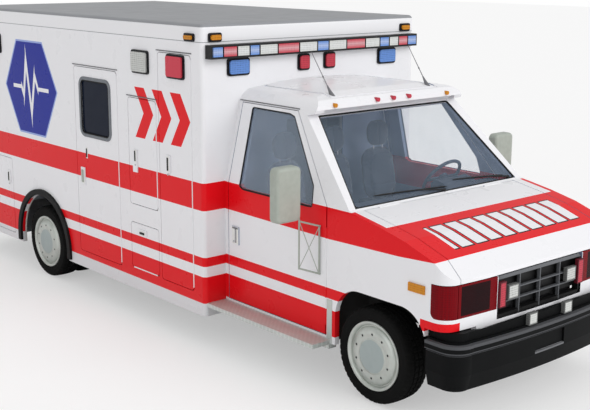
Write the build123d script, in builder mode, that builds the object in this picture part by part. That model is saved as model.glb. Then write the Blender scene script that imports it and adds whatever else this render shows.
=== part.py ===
from build123d import *
import os

os.makedirs("parts", exist_ok=True)

# Ambulance: a cutaway van cab with a square load box behind it.
# Millimetres, +Z up, the front faces -Y, the right-hand side is at -X.
# The origin is on the ground, halfway along the vehicle.

# Chassis and overall length
wheelbase = 4477.0
nose_overhang = 850.0
box_start = 1733.0
rear_overhang = 1558.0
step_depth = 250.0

# Wheels
tyre_radius = 365.0
tyre_width = 223.0
rim_radius = 255.0
front_wheel_x = 878.0
twin_outer_x = 1089.0
twin_spacing = 275.0
king_pin_x = 790.0

# Cab
cab_half_width = 1000.0
cab_clear = cab_half_width + 100
cab_wall = 45.0
cab_bottom = 345.0
waist_height = 1380.0
gutter_height = 2061.0
gutter_half_width = 835.0
cab_roof_height = 2195.0
cab_floor_top = 740.0
cab_floor_bottom = 700.0
hood_half_width = 868.0
nose_front = 740.0
nose_crown = 40.0
nose_corner = 120.0
cowl_height = 1397.0
cowl_back = 240.0
door_front = 485.0
door_rear = 1690.0
door_bottom = 400.0
door_top = 2046.0

# Load box
box_half_width = 1219.0
box_bottom = 268.0
box_top = 2681.0
box_wall = 45.0
box_corner = 38.0
roof_split = 2540.0
floor_top = 790.0
floor_bottom = 740.0
locker_depth = 450.0
liner_sheet = 8.0
arch_radius = 485.0
flare_width = 56.0
flare_depth = 26.0

# Frame
rail_half_gap = 380.0
rail_flange = 60.0
rail_height = 160.0
rail_bottom = 480.0
rail_sheet = 9.0

# Fits
seam = 6.0
hinge_seam = 12.0
pin_radius = 2.5
pin_clearance = 0.3
knuckle_radius = 5.5
knuckle_length = 45.0
slip = 0.3

# Places worked out from the sizes above
box_rear = wheelbase + rear_overhang
front_axle_y = nose_overhang - (nose_overhang + box_rear + step_depth) / 2
rear_axle_y = front_axle_y + wheelbase
rail_top = rail_bottom + rail_height
rail_end = box_rear - box_wall


def back(distance):
    # y of a point that lies this far behind the front axle
    return front_axle_y + distance


def span_box(x, y, z, mode=Mode.ADD):
    # box between pairs of limits: x, y measured back from the front axle, z
    centre = ((x[0] + x[1]) / 2, back((y[0] + y[1]) / 2), (z[0] + z[1]) / 2)
    with Locations(centre):
        Box(x[1] - x[0], y[1] - y[0], z[1] - z[0], mode=mode)


def save(part, name):
    part.label = name
    export_step(part, "parts/" + name + ".step")


# Sketch planes. On the side planes a point is (distance behind the front axle, height).
side_plane = Plane(origin=(0, front_axle_y, 0), x_dir=(0, 1, 0), z_dir=(1, 0, 0))
front_plane = Plane(origin=(0, front_axle_y, 0), x_dir=(1, 0, 0), z_dir=(0, -1, 0))
plan_plane = Plane(origin=(0, front_axle_y, 0), x_dir=(1, 0, 0), z_dir=(0, 0, 1))
right_face = Plane(origin=(-box_half_width, front_axle_y, 0), x_dir=(0, 1, 0), z_dir=(1, 0, 0))
rear_face = Plane(origin=(0, back(box_rear), 0), x_dir=(1, 0, 0), z_dir=(0, -1, 0))

bumper_top = 716.0


def nose_height(share):
    # height at this share of the rise from the bumper's top to the cowl
    return bumper_top + share * (cowl_height - bumper_top)


nose_seam = nose_height(0.4816)
hood_rear_height = nose_height(0.9236)

# Cab outline from the side: nose, hood, windshield, header, roof
windshield_foot = (cowl_back + 14, cowl_height + 6)
windshield_head = (892.0, 2020.0)
cab_side = [
    (-nose_front, cab_bottom),
    (-nose_front, nose_height(0.4317)),
    (-nose_front + 30, nose_height(0.5272)),
    (-577.0, nose_height(0.7107)),
    (-300.0, nose_height(0.8458)),
    (-60.0, hood_rear_height),
    (cowl_back, cowl_height),
    windshield_foot,
    windshield_head,
    (812.0, 2036.0),
    (798.0, 2062.0),
    (806.0, 2096.0),
    (850.0, 2130.0),
    (1010.0, 2166.0),
    (1250.0, 2185.0),
    (box_start, cab_roof_height),
    (box_start, cab_bottom),
]


def cab_form(inset):
    # solid of the cab's outer form, drawn in by the inset; a drawn-in form runs out below and behind
    run_out = 200.0 if inset else 0.0
    with BuildPart() as form:
        with BuildSketch(side_plane):
            with BuildLine():
                Polyline(*cab_side, close=True)
            make_face()
            if inset:
                offset(amount=-inset, kind=Kind.INTERSECTION)
                with Locations((0, cab_bottom)):
                    Rectangle(box_start - inset, 2 * run_out, align=(Align.MIN, Align.CENTER))
                with Locations((box_start, cab_bottom - run_out)):
                    Rectangle(2 * run_out, cab_roof_height - inset - cab_bottom + run_out,
                              align=(Align.CENTER, Align.MIN))
        extrude(amount=cab_half_width + 50, both=True)
        with BuildSketch(front_plane):
            with BuildLine():
                low = cab_bottom - run_out
                Polyline((-gutter_half_width, gutter_height), (-cab_half_width, waist_height),
                         (-cab_half_width, low), (cab_half_width, low),
                         (cab_half_width, waist_height), (gutter_half_width, gutter_height))
                ThreePointArc((gutter_half_width, gutter_height), (785, 2118), (690, 2148))
                ThreePointArc((690, 2148), (0, cab_roof_height), (-690, 2148))
                ThreePointArc((-690, 2148), (-785, 2118), (-gutter_half_width, gutter_height))
            make_face()
            if inset:
                offset(amount=-inset, kind=Kind.INTERSECTION)
                with Locations((0, low)):
                    Rectangle(2 * (cab_half_width - inset), 4 * inset)
        extrude(amount=2 * box_start, both=True, mode=Mode.INTERSECT)
        with BuildSketch(plan_plane):
            with BuildLine():
                end = box_start + run_out
                turn = cab_half_width - nose_corner
                front = nose_front - nose_crown
                bend = nose_corner * 0.7071
                Polyline((-cab_half_width, nose_corner - front), (-cab_half_width, end),
                         (cab_half_width, end), (cab_half_width, nose_corner - front))
                ThreePointArc((cab_half_width, nose_corner - front),
                              (turn + bend, nose_corner - front - bend), (turn, -front))
                ThreePointArc((turn, -front), (0, -nose_front), (-turn, -front))
                ThreePointArc((-turn, -front), (-turn - bend, nose_corner - front - bend),
                              (-cab_half_width, nose_corner - front))
            make_face()
            if inset:
                offset(amount=-inset)
        extrude(amount=2 * box_top, both=True, mode=Mode.INTERSECT)
    return form.part


cab_outer = cab_form(0)
cab_inner = cab_form(cab_wall)

# Outlines in the side view
door_outline = [
    (door_front, door_bottom),
    (door_front, 1392.0),
    (1000.0, door_top),
    (door_rear, door_top),
    (door_rear, door_bottom),
]
window_outline = [
    (653.0, 1366.0),
    (678.0, 1521.0),
    (1030.0, 1994.0),
    (1090.0, 2011.0),
    (1553.0, 2013.0),
    (1543.0, 1387.0),
    (1505.0, 1366.0),
]
windshield_plane = Plane(
    origin=(0, back(windshield_foot[0]), windshield_foot[1]),
    x_dir=(1, 0, 0),
    z_dir=(0, windshield_foot[1] - windshield_head[1], windshield_head[0] - windshield_foot[0]),
)
windshield_length = ((windshield_head[0] - windshield_foot[0]) ** 2
                     + (windshield_head[1] - windshield_foot[1]) ** 2) ** 0.5
windshield_outline = [
    (-930.0, 8.0),
    (-742.0, windshield_length - 14),
    (742.0, windshield_length - 14),
    (930.0, 8.0),
]
lamp_low = nose_height(0.1322)
lamp_inner = 503.0
lamp_back = 556.0
lamp_round = 44.0
grille_low = nose_height(0.0206)
grille_high = nose_seam - seam
arch_front = 520.0
arch_rear = 388.0
arch_top = 822.0


def side_outline(points, grow=0.0, corner=0.0):
    # face of a side-view outline, grown by an amount, its corners rounded
    with BuildSketch(side_plane) as outline:
        with BuildLine():
            Polyline(*points, close=True)
        make_face()
        if grow:
            offset(amount=grow, kind=Kind.INTERSECTION)
        if corner:
            fillet(outline.vertices(), corner)
    return outline.sketch


def rod(start, end, radius):
    # straight round bar between two points
    run = Vector(*end) - Vector(*start)
    with BuildPart(Plane(origin=start, z_dir=run)) as bar:
        Cylinder(radius, run.length, align=(Align.CENTER, Align.CENTER, Align.MIN))
    return bar.part


def knuckles(plane, length, moving):
    # piano hinge along the plane's normal, centred on its origin; the jamb lies towards local x
    # and the inside of the wall towards local y: the jamb's half, or the moving half
    half = length / 2
    with BuildPart(plane) as hinge:
        if moving:
            reach = half - knuckle_length - slip
            Cylinder(knuckle_radius, 2 * reach)
            with Locations((-hinge_seam / 4, knuckle_radius / 2, 0)):
                Box(hinge_seam / 2, knuckle_radius, 2 * reach)
            Cylinder(pin_radius + pin_clearance, 3 * reach, mode=Mode.SUBTRACT)
        else:
            Cylinder(pin_radius, length)
            for end in (-1, 1):
                with Locations((0, 0, end * (half - knuckle_length / 2))):
                    Cylinder(knuckle_radius, knuckle_length)
                with Locations((hinge_seam / 4, knuckle_radius / 2, end * (half - knuckle_length / 2))):
                    Box(hinge_seam / 2, knuckle_radius, knuckle_length)
    return hinge.part


def hinge_plane(point, jamb, inward):
    jamb = Vector(*jamb)
    return Plane(origin=point, x_dir=jamb, z_dir=jamb.cross(Vector(*inward)))


def lamp_space(top):
    # room for the headlamp and the corner lamp in the right-hand side of the nose
    with BuildPart() as room:
        span_box((-cab_clear, -lamp_inner), (-nose_front - 10, -lamp_back), (lamp_low, top))
        fillet(room.edges().filter_by(Axis.X).group_by(Axis.Y)[-1].sort_by(Axis.Z)[0], lamp_round)
    return room.part


cab_hinge_length = 760.0
cab_hinge = hinge_plane((-cab_half_width, back(door_front + hinge_seam / 2), 860.0), (0, -1, 0), (1, 0, 0))


strip_low = 655.0
bumper_back = 512.0

# Front clip: both fenders, the nose panel and the strip over the bumper
with BuildPart() as front_clip:
    add(cab_outer)
    add(cab_inner, mode=Mode.SUBTRACT)
    span_box((-cab_clear, cab_clear), (door_front, box_start + 10), (0, box_top), mode=Mode.SUBTRACT)
    span_box((-cab_clear, cab_clear), (cowl_back, box_start), (hood_rear_height, box_top), mode=Mode.SUBTRACT)
    span_box((-hood_half_width, hood_half_width), (-nose_front - 10, cowl_back), (nose_seam, box_top),
             mode=Mode.SUBTRACT)
    span_box((seam - lamp_inner, lamp_inner - seam), (-nose_front - 10, -500), (grille_low, nose_seam),
             mode=Mode.SUBTRACT)
    span_box((-900, 900), (-nose_front - 10, -500), (0, strip_low), mode=Mode.SUBTRACT)
    for sign in (-1, 1):
        span_box(sorted((sign * 700, sign * cab_clear)), (-nose_front - 10, -bumper_back + seam),
                 (0, bumper_top + seam), mode=Mode.SUBTRACT)
    add(lamp_space(nose_seam + seam), mode=Mode.SUBTRACT)
    add(mirror(lamp_space(nose_seam + seam), about=Plane.YZ), mode=Mode.SUBTRACT)
    with BuildSketch(side_plane) as arch:
        with Locations(((arch_rear - arch_front) / 2, arch_top / 2)):
            Rectangle(arch_front + arch_rear, arch_top)
        fillet(arch.vertices().group_by(Axis.Z)[-1], 245)
    extrude(amount=cab_half_width + 50, both=True, mode=Mode.SUBTRACT)
    add(knuckles(cab_hinge, cab_hinge_length, False))
    add(mirror(knuckles(cab_hinge, cab_hinge_length, False), about=Plane.YZ))
save(front_clip.part, "front_clip")

# Hood: the top of the nose between the fenders, hinged along the cowl
hood_slope = (cowl_height - cab_side[5][1]) / (cowl_back - cab_side[5][0])
hood_hinge_z = cowl_height - hood_slope * hinge_seam / 2
hood_hinge_length = 220.0
hood_hinges = [
    hinge_plane((x, back(cowl_back - hinge_seam / 2), hood_hinge_z), (0, 1, 0), (0, 0, -1))
    for x in (-600.0, 600.0)
]
with BuildPart() as hood:
    add(cab_outer)
    add(cab_inner, mode=Mode.SUBTRACT)
    span_box((-hood_half_width + seam, hood_half_width - seam),
             (-nose_front - 10, cowl_back - hinge_seam), (nose_seam + seam, box_top), mode=Mode.INTERSECT)
    for plane in hood_hinges:
        add(knuckles(plane, hood_hinge_length, True))
save(hood.part, "hood")

door_reach = 280.0

# Cab body: pillars, sills and the windshield frame up to the gutter
with BuildPart() as cab_body:
    add(cab_outer)
    add(cab_inner, mode=Mode.SUBTRACT)
    span_box((-cab_clear, cab_clear), (-nose_front - 10, door_front), (0, hood_rear_height), mode=Mode.SUBTRACT)
    span_box((-cab_clear, cab_clear), (-nose_front - 10, cowl_back), (hood_rear_height, box_top), mode=Mode.SUBTRACT)
    span_box((-cab_clear, cab_clear), (0, box_start + 10), (gutter_height, box_top), mode=Mode.SUBTRACT)
    doorway = side_outline(door_outline)
    for sign in (-1, 1):
        placed = doorway.moved(Location((sign * (cab_half_width + 50), 0, 0)))
        extrude(placed, amount=-sign * (door_reach + 10), mode=Mode.SUBTRACT)
    with BuildSketch(windshield_plane):
        with BuildLine():
            Polyline(*windshield_outline, close=True)
        make_face()
    extrude(amount=110, both=True, mode=Mode.SUBTRACT)
    for plane in hood_hinges:
        add(knuckles(plane, hood_hinge_length, False))

# Roof panel of the cab, with pressed beads round its centre field
roof_bead_x = 590.0
bead_width = 26.0
bead_depth = 7.0
with BuildPart() as cab_roof:
    add(cab_outer)
    add(cab_inner, mode=Mode.SUBTRACT)
    span_box((-cab_clear, cab_clear), (0, box_start + 10), (gutter_height, box_top), mode=Mode.INTERSECT)
    with BuildPart(mode=Mode.PRIVATE) as roof_field:
        for sign in (-1, 1):
            span_box(sorted((sign * roof_bead_x, sign * (roof_bead_x + bead_width))), (900, 1690),
                     (gutter_height, box_top))
        span_box((-roof_bead_x - bead_width, roof_bead_x + bead_width), (900 - bead_width, 900),
                 (gutter_height, box_top))
        add(cab_form(bead_depth), mode=Mode.SUBTRACT)
    add(roof_field.part, mode=Mode.SUBTRACT)
save(cab_body.part, "cab_body")
save(cab_roof.part, "cab_roof")

# Windshield
with BuildPart() as windshield:
    with BuildSketch(windshield_plane.offset(-14)):
        with BuildLine():
            Polyline(*windshield_outline, close=True)
        make_face()
    extrude(amount=6)
save(windshield.part, "windshield")

# Doors of the cab and their glass and mirrors, right and left
glass_inset = 12.0
glass_sheet = 5.0
mirror_x = 1243.0
mirror_y = 672.0
mirror_z = 1492.0


def side_skin(inset, sheet):
    # upright slab that follows the right side of the cab from the sill to the gutter
    with BuildPart() as skin:
        with BuildSketch(front_plane):
            with BuildLine():
                foot = -cab_half_width + inset
                head = -gutter_half_width + inset
                Polyline((foot, cab_bottom), (foot, waist_height), (head, gutter_height),
                         (head + sheet, gutter_height), (foot + sheet, waist_height),
                         (foot + sheet, cab_bottom), close=True)
            make_face()
        extrude(amount=-box_start)
    return skin.part


cab_window = side_outline(window_outline, 0, 20)
with BuildPart() as cab_door:
    add(cab_outer)
    add(cab_inner, mode=Mode.SUBTRACT)
    extrude(side_outline(door_outline, -seam).moved(Location((-cab_half_width - 50, 0, 0))),
            amount=door_reach, mode=Mode.INTERSECT)
    extrude(cab_window.moved(Location((-cab_half_width - 50, 0, 0))), amount=door_reach,
            mode=Mode.SUBTRACT)
    span_box((-cab_half_width - 50, -cab_half_width / 2), (door_front, door_front + hinge_seam),
             (0, door_outline[1][1]), mode=Mode.SUBTRACT)
    add(knuckles(cab_hinge, cab_hinge_length, True))
    with Locations((-cab_half_width - 4, back(door_rear - 100), 963)):
        Box(10, 90, 150)
cab_door_glass = side_skin(glass_inset, glass_sheet) & extrude(
    cab_window.moved(Location((-cab_half_width - 50, 0, 0))), amount=door_reach)

# Mirror: a tall head on a looped rod bracket that stands on the door skin
mirror_width = 236.0
mirror_height = 414.0
mirror_depth = 84.0
rod_radius = 7.0
wire_radius = 3.0
bracket_foot_y = 556.0
bracket_z = (866.0, 1237.0)
bracket_side_z = (905.0, 1271.0)


inner_edge = -mirror_x + mirror_width / 2 + 12
with BuildPart() as cab_mirror:
    with BuildSketch(Plane(origin=(-mirror_x, back(mirror_y) - mirror_depth / 2, mirror_z),
                           x_dir=(1, 0, 0), z_dir=(0, -1, 0))):
        RectangleRounded(mirror_width, mirror_height, 42)
    extrude(amount=-mirror_depth, taper=-1)
    fillet(cab_mirror.edges().group_by(Axis.Y)[0], 26)
    rod_y = back(mirror_y)
    foot_y = back(bracket_foot_y)
    foot_x = -cab_half_width - 2 * rod_radius
    for foot_z, side_z in zip(bracket_z, bracket_side_z):
        add(rod((-cab_half_width, foot_y, foot_z), (inner_edge, rod_y, side_z), rod_radius))
    add(rod((foot_x, foot_y, bracket_z[0]), (foot_x, foot_y, bracket_z[1]), rod_radius))
    add(rod((inner_edge, rod_y, bracket_side_z[0] - rod_radius), (inner_edge, rod_y, mirror_z), rod_radius))
    add(rod((inner_edge, rod_y, mirror_z - 60), (-mirror_x, rod_y, mirror_z - 60), rod_radius))
    add(rod((foot_x, foot_y, bracket_z[0]), (inner_edge, rod_y, bracket_side_z[1]), wire_radius))
    add(rod((foot_x, foot_y, bracket_z[1]), (inner_edge, rod_y, bracket_side_z[0]), wire_radius))
    split(bisect_by=Plane(origin=(-cab_half_width, 0, 0), z_dir=(1, 0, 0)), keep=Keep.BOTTOM)

# Grille: dark frame with three uprights and two bars before a black back plate
grille_half = lamp_inner - 6
with BuildPart() as grille:
    with BuildSketch(front_plane.offset(nose_front - 24)) as frame:
        with Locations((0, (grille_low + grille_high) / 2)):
            Rectangle(2 * grille_half, grille_high - grille_low)
        chamfer(frame.vertices().group_by(Axis.Z)[0], 30)
        with Locations((0, (grille_low + grille_high) / 2 - 2)):
            Rectangle(2 * grille_half - 44, grille_high - grille_low - 52, mode=Mode.SUBTRACT)
        with Locations(*[(x, (grille_low + grille_high) / 2) for x in (-236, 0, 236)]):
            Rectangle(9, grille_high - grille_low - 40)
        with Locations(*[(0, grille_low + 26 + row * 82) for row in (1, 2)]):
            Rectangle(2 * grille_half - 40, 9)
    extrude(amount=-52)
    span_box((-grille_half, grille_half), (-nose_front + 70, -nose_front + 90),
             (grille_low + 46, grille_high - 2))
save(grille.part, "grille")

# Headlamps and the corner lamps beside them, lying flush in the nose
lamp_split = cab_half_width - 120
with BuildPart() as lamp_side:
    add(cab_outer)
    add(cab_form(cab_wall - 5), mode=Mode.SUBTRACT)
    add(lamp_space(nose_seam), mode=Mode.INTERSECT)
    span_box((-lamp_split - seam, -lamp_split), (-nose_front - 10, 0), (0, box_top), mode=Mode.SUBTRACT)
with BuildPart() as headlamps:
    add(lamp_side.part)
    add(mirror(lamp_side.part, about=Plane.YZ))
save(headlamps.part, "headlamps")

# Front bumper: bands that wrap the corners, each band with its own depth and slope
bumper_half = 1000.0
bumper_inner = nose_overhang - 92
bumper_bands = [
    # bottom, top, how far it stands in from the foremost band, taper in degrees
    (300.0, 420.0, 46.0, -14),
    (420.0, 565.0, 16.0, 0),
    (565.0, 582.0, 26.0, 0),
    (582.0, 640.0, 0.0, 0),
    (640.0, 655.0, 34.0, 0),
    (655.0, bumper_top, 52.0, 0),
]
plate_half = 170.0
with BuildPart() as front_bumper:
    for low, high, inset, slope in bumper_bands:
        with BuildSketch(plan_plane.offset(low)):
            with BuildLine():
                Polyline((-bumper_half, -640), (-bumper_half, -300), (bumper_half, -300), (bumper_half, -640))
                ThreePointArc((bumper_half, -640), (960, -752), (820, -804))
                ThreePointArc((820, -804), (0, -nose_overhang), (-820, -804))
                ThreePointArc((-820, -804), (-960, -752), (-bumper_half, -640))
            make_face()
            if inset:
                offset(amount=-inset)
        extrude(amount=high - low, taper=slope)
    with BuildSketch(plan_plane.offset(200)):
        with BuildLine():
            Polyline((-930, -200), (-930, -640), (-700, -bumper_inner), (700, -bumper_inner), (930, -640),
                     (930, -200), close=True)
        make_face()
    extrude(amount=600, mode=Mode.SUBTRACT)
    span_box((-cab_clear, cab_clear), (-bumper_back, 0), (0, 900), mode=Mode.SUBTRACT)
    span_box((-plate_half, plate_half), (-nose_overhang - 5, -nose_overhang + 32), (437, 553),
             mode=Mode.SUBTRACT)
save(front_bumper.part, "front_bumper")

# Cab floor with its sills, the toe board and the firewall
tyre_room = 440.0
firewall_top = cowl_height - 62
with BuildPart() as cab_floor:
    inside = cab_half_width - cab_wall
    span_box((-inside, inside), (tyre_room, box_start), (cab_floor_bottom, cab_floor_top))
    span_box((-inside, inside), (tyre_room, tyre_room + 25), (cab_floor_bottom, 870))
    span_box((-inside, inside), (300, tyre_room + 25), (845, 870))
    span_box((-inside, inside), (300, 325), (845, firewall_top))
    span_box((-inside, inside), (cowl_back - 35, 325), (firewall_top - 30, firewall_top))
    for sign in (-1, 1):
        edges = sorted((sign * inside, sign * (inside - 110)))
        span_box(edges, (door_front, box_start), (cab_bottom + 5, cab_floor_bottom))
        span_box(sorted((sign * inside, sign * (inside - 90))), (door_front, box_start),
                 (cab_bottom + 65, cab_floor_bottom), mode=Mode.SUBTRACT)
    for sign in (-1, 1):
        edges = sorted((sign * (inside - 90), sign * (inside - 110)))
        span_box(edges, (door_front, box_start), (cab_bottom + 5, cab_floor_bottom))
save(cab_floor.part, "cab_floor")

# Dashboard with its hood over the gauges and the steering column
steering_centre = (450.0, 640.0, cowl_height + 7)
column_slope = 32.0
column_plane = Plane(origin=(steering_centre[0], back(steering_centre[1]), steering_centre[2]),
                     x_dir=(1, 0, 0)).rotated((-column_slope - 22, 0, 0))
dash_half = 900.0
with BuildPart() as dashboard:
    with BuildSketch(side_plane.offset(-dash_half)) as section:
        with BuildLine():
            dash_top = cowl_height - 25
            Polyline((325, firewall_top), (325, dash_top - 312), (420, dash_top - 332), (560, dash_top - 252),
                     (600, dash_top - 132), (585, dash_top - 42), (520, dash_top), (380, dash_top), close=True)
        make_face()
        fillet(section.vertices().group_by(Axis.Y)[-1], 20)
    extrude(amount=2 * dash_half)
    with BuildSketch(side_plane.offset(steering_centre[0] - 190)):
        with BuildLine():
            Polyline((420, dash_top - 12), (600, dash_top - 72), (600, dash_top + 23), (560, dash_top + 56),
                     (470, dash_top + 43), close=True)
        make_face()
    extrude(amount=380)
    with BuildSketch(column_plane.offset(-12)):
        Circle(36)
    extrude(amount=-230)
save(dashboard.part, "dashboard")

wheel_rim_radius = 184.0
with BuildPart() as steering_wheel:
    with BuildSketch(Plane(column_plane.origin, x_dir=column_plane.z_dir, z_dir=column_plane.y_dir)):
        with Locations((14, wheel_rim_radius)):
            Circle(14)
    revolve(axis=Axis(column_plane.origin, column_plane.z_dir))
    with BuildSketch(column_plane.offset(-12 + slip)):
        Circle(52)
    extrude(amount=26)
    with BuildSketch(column_plane.offset(4)):
        for turn in (0, 90, 180):
            with Locations(Rotation(0, 0, turn)):
                with Locations((wheel_rim_radius / 2, 0)):
                    Rectangle(wheel_rim_radius, 30)
        Circle(40)
    extrude(amount=12)
save(steering_wheel.part, "steering_wheel")

# Three seats across the cab
seat_spacing = 545.0
seat_width = 490.0
with BuildPart() as cab_seats:
    for place in (-1, 0, 1):
        middle = place * seat_spacing
        with BuildSketch(side_plane.offset(middle - seat_width / 2)) as seat:
            with BuildLine():
                Polyline((1010, 1000), (1000, 1075), (1030, 1110), (1400, 1085), (1490, 1560), (1600, 1570),
                         (1600, 1480), (1530, 960), (1040, 960), close=True)
            make_face()
            fillet(seat.vertices().group_by(Axis.Z)[-1], 35)
        extrude(amount=seat_width)
        span_box((middle - 135, middle + 135), (1455, 1560), (1540, 1795))
        span_box((middle - 190, middle + 190), (1080, 1500), (cab_floor_top, 980))
save(cab_seats.part, "cab_seats")

# Ladder frame: two channel rails, their cross members, body mounts and spring seats
rail_middle = rail_half_gap + rail_flange / 2
cross_members = (-640.0, 1060.0, 1500.0, 2600.0, wheelbase - 977, wheelbase + 823, box_rear - 135)
mount_rows = ((600.0, cab_floor_bottom), (1600.0, cab_floor_bottom), (1900.0, floor_bottom),
              (2900.0, floor_bottom), (wheelbase - 677, floor_bottom), (wheelbase + 523, floor_bottom),
              (box_rear - 135, floor_bottom))
with BuildPart() as frame_rails:
    for sign in (-1, 1):
        outer = sorted((sign * rail_half_gap, sign * (rail_half_gap + rail_flange)))
        hollow = sorted((sign * rail_half_gap, sign * (rail_half_gap + rail_flange - rail_sheet)))
        span_box(outer, (-bumper_inner, rail_end), (rail_bottom, rail_top))
        span_box(hollow, (-bumper_inner, rail_end), (rail_bottom + rail_sheet, rail_top - rail_sheet),
                 mode=Mode.SUBTRACT)
    for distance in cross_members:
        reach = rail_half_gap + rail_flange - rail_sheet
        span_box((-reach, reach), (distance - 35, distance + 35), (rail_top - 45, rail_top - 10))
    for distance, height in mount_rows:
        with Locations(*[(sign * rail_middle, back(distance), rail_top) for sign in (-1, 1)]):
            Cylinder(36, height - rail_top, align=(Align.CENTER, Align.CENTER, Align.MIN))
save(frame_rails.part, "frame_rails")

# Front axle: a dropped beam with a fork for each king pin, and coil springs up to the rails
beam_top = 330.0
fork_half = 92.0
boss_half = 74.0
king_pin_radius = 13.0
spring_x = 560.0
with BuildPart() as front_axle:
    span_box((-king_pin_x + 80, king_pin_x - 80), (-38, 38), (beam_top - 70, beam_top))
    for sign in (-1, 1):
        span_box(sorted((sign * (king_pin_x - 100), sign * (king_pin_x - 60))), (-38, 38),
                 (tyre_radius - fork_half, tyre_radius + fork_half))
        for low in (tyre_radius - fork_half, tyre_radius + boss_half + slip):
            span_box(sorted((sign * (king_pin_x - 70), sign * (king_pin_x + 20))), (-30, 30),
                     (low, low + fork_half - boss_half - slip))
        with Locations((sign * king_pin_x, front_axle_y, tyre_radius)):
            Cylinder(king_pin_radius, 2 * fork_half)
        with Locations((sign * rail_middle, front_axle_y, (beam_top + rail_bottom) / 2)):
            Cylinder(34, rail_bottom - beam_top)
        for turn in range(5):
            with Locations((sign * rail_middle, front_axle_y, beam_top + 20 + turn * 28)):
                Cylinder(58, 13)
save(front_axle.part, "front_axle")

# Knuckles that turn about the king pins and carry the front wheels
spindle_radius = 34.0
stub_radius = 48.0
with BuildPart() as knuckle:
    with Locations((-king_pin_x, front_axle_y, tyre_radius)):
        Cylinder(34, 2 * boss_half)
    with BuildSketch(Plane(origin=(-king_pin_x - 10, front_axle_y, tyre_radius), z_dir=(-1, 0, 0))):
        Circle(62)
    extrude(amount=40)
    with BuildSketch(Plane(origin=(-king_pin_x, front_axle_y, tyre_radius), z_dir=(-1, 0, 0))):
        Circle(spindle_radius)
    extrude(amount=130)
    with Locations((-king_pin_x, front_axle_y, tyre_radius)):
        Cylinder(king_pin_radius + slip, 400, mode=Mode.SUBTRACT)
    span_box((-king_pin_x - 15, -king_pin_x + 15), (25, 150), (tyre_radius - 70, tyre_radius - 45))

# Rear axle: tube, differential, hubs, leaf springs with their hangers
spring_half_length = 640.0
spring_top = 452.0
with BuildPart() as rear_axle:
    with Locations((0, rear_axle_y, tyre_radius)):
        Sphere(165)
        with Locations(Rotation(0, 90, 0)):
            Cylinder(58, 2 * 690)
            Cylinder(stub_radius, 2 * (twin_outer_x - 100))
            for sign in (-1, 1):
                with Locations((0, 0, sign * 665)):
                    Cylinder(172, 60)
    with BuildSketch(Plane(origin=(0, rear_axle_y - 80, tyre_radius), z_dir=(0, -1, 0))):
        Circle(75)
    extrude(amount=190, taper=8)
    for sign in (-1, 1):
        edges = sorted((sign * (rail_middle + 55), sign * (rail_middle + 125)))
        for leaf, half in enumerate((spring_half_length, 520, 400, 280)):
            span_box(edges, (wheelbase - half, wheelbase + half),
                     (spring_top - leaf * 13 - 12, spring_top - leaf * 13 + 1))
        for end in (-1, 1):
            at = wheelbase + end * (spring_half_length - 30)
            span_box(sorted((sign * (rail_middle + 30), sign * (rail_middle + 125))), (at - 30, at + 30),
                     (spring_top, rail_bottom + 70))
        span_box(edges, (wheelbase - 60, wheelbase + 60), (tyre_radius, spring_top - 50))
save(rear_axle.part, "rear_axle")

# Engine and gearbox as one block
with BuildPart() as engine:
    span_box((-270, 270), (-520, 230), (520, 990))
    span_box((-230, 230), (-430, 150), (990, 1080))
    span_box((-150, 150), (230, 1000), (430, 690))
    for sign in (-1, 1):
        span_box(sorted((sign * 270, sign * (rail_half_gap + rail_flange - rail_sheet))), (-200, -120),
                 (560, 620))
save(engine.part, "engine")

# Under the floor: propeller shaft, fuel tank and exhaust
with BuildPart() as underbody:
    add(rod((0, back(1000), 500), (0, back(1040), 500), 60))
    add(rod((0, back(1030), 500), (0, back(wheelbase - 300), tyre_radius), 40))
    add(rod((0, back(wheelbase - 310), tyre_radius), (0, back(wheelbase - 270), tyre_radius), 60))
    with BuildSketch(Plane(origin=(0, back(wheelbase + 223), 0), x_dir=(1, 0, 0), z_dir=(0, 1, 0))) as tank:
        with Locations((0, -520)):
            Rectangle(2 * rail_half_gap, 240)
        fillet(tank.vertices(), 50)
    extrude(amount=565)
    add(rod((-230, back(900), 440), (-230, back(2500), 440), 32))
    add(rod((-230, back(2500), 440), (-230, back(3100), 440), 95))
    for distance in (1500, 2600):
        add(rod((-230, back(distance), 440), (-230, back(distance), rail_top - 45), 9))
save(underbody.part, "underbody")


# Tyres and rims. A wheel's section is drawn with its outer face at a distance from the middle
# of the vehicle; the first number is that distance from the wheel's middle, the second the radius.
def revolved(section, middle_x, middle_y):
    # ring about the wheel's axis from a closed outline of (outward distance, radius)
    plane = Plane(origin=(-middle_x, middle_y, tyre_radius), x_dir=(-1, 0, 0), z_dir=(0, 1, 0))
    with BuildPart() as ring:
        with BuildSketch(plane):
            with BuildLine():
                Polyline(*section, close=True)
            make_face()
        revolve(axis=Axis(plane.origin, (1, 0, 0)))
    return ring.part


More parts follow.
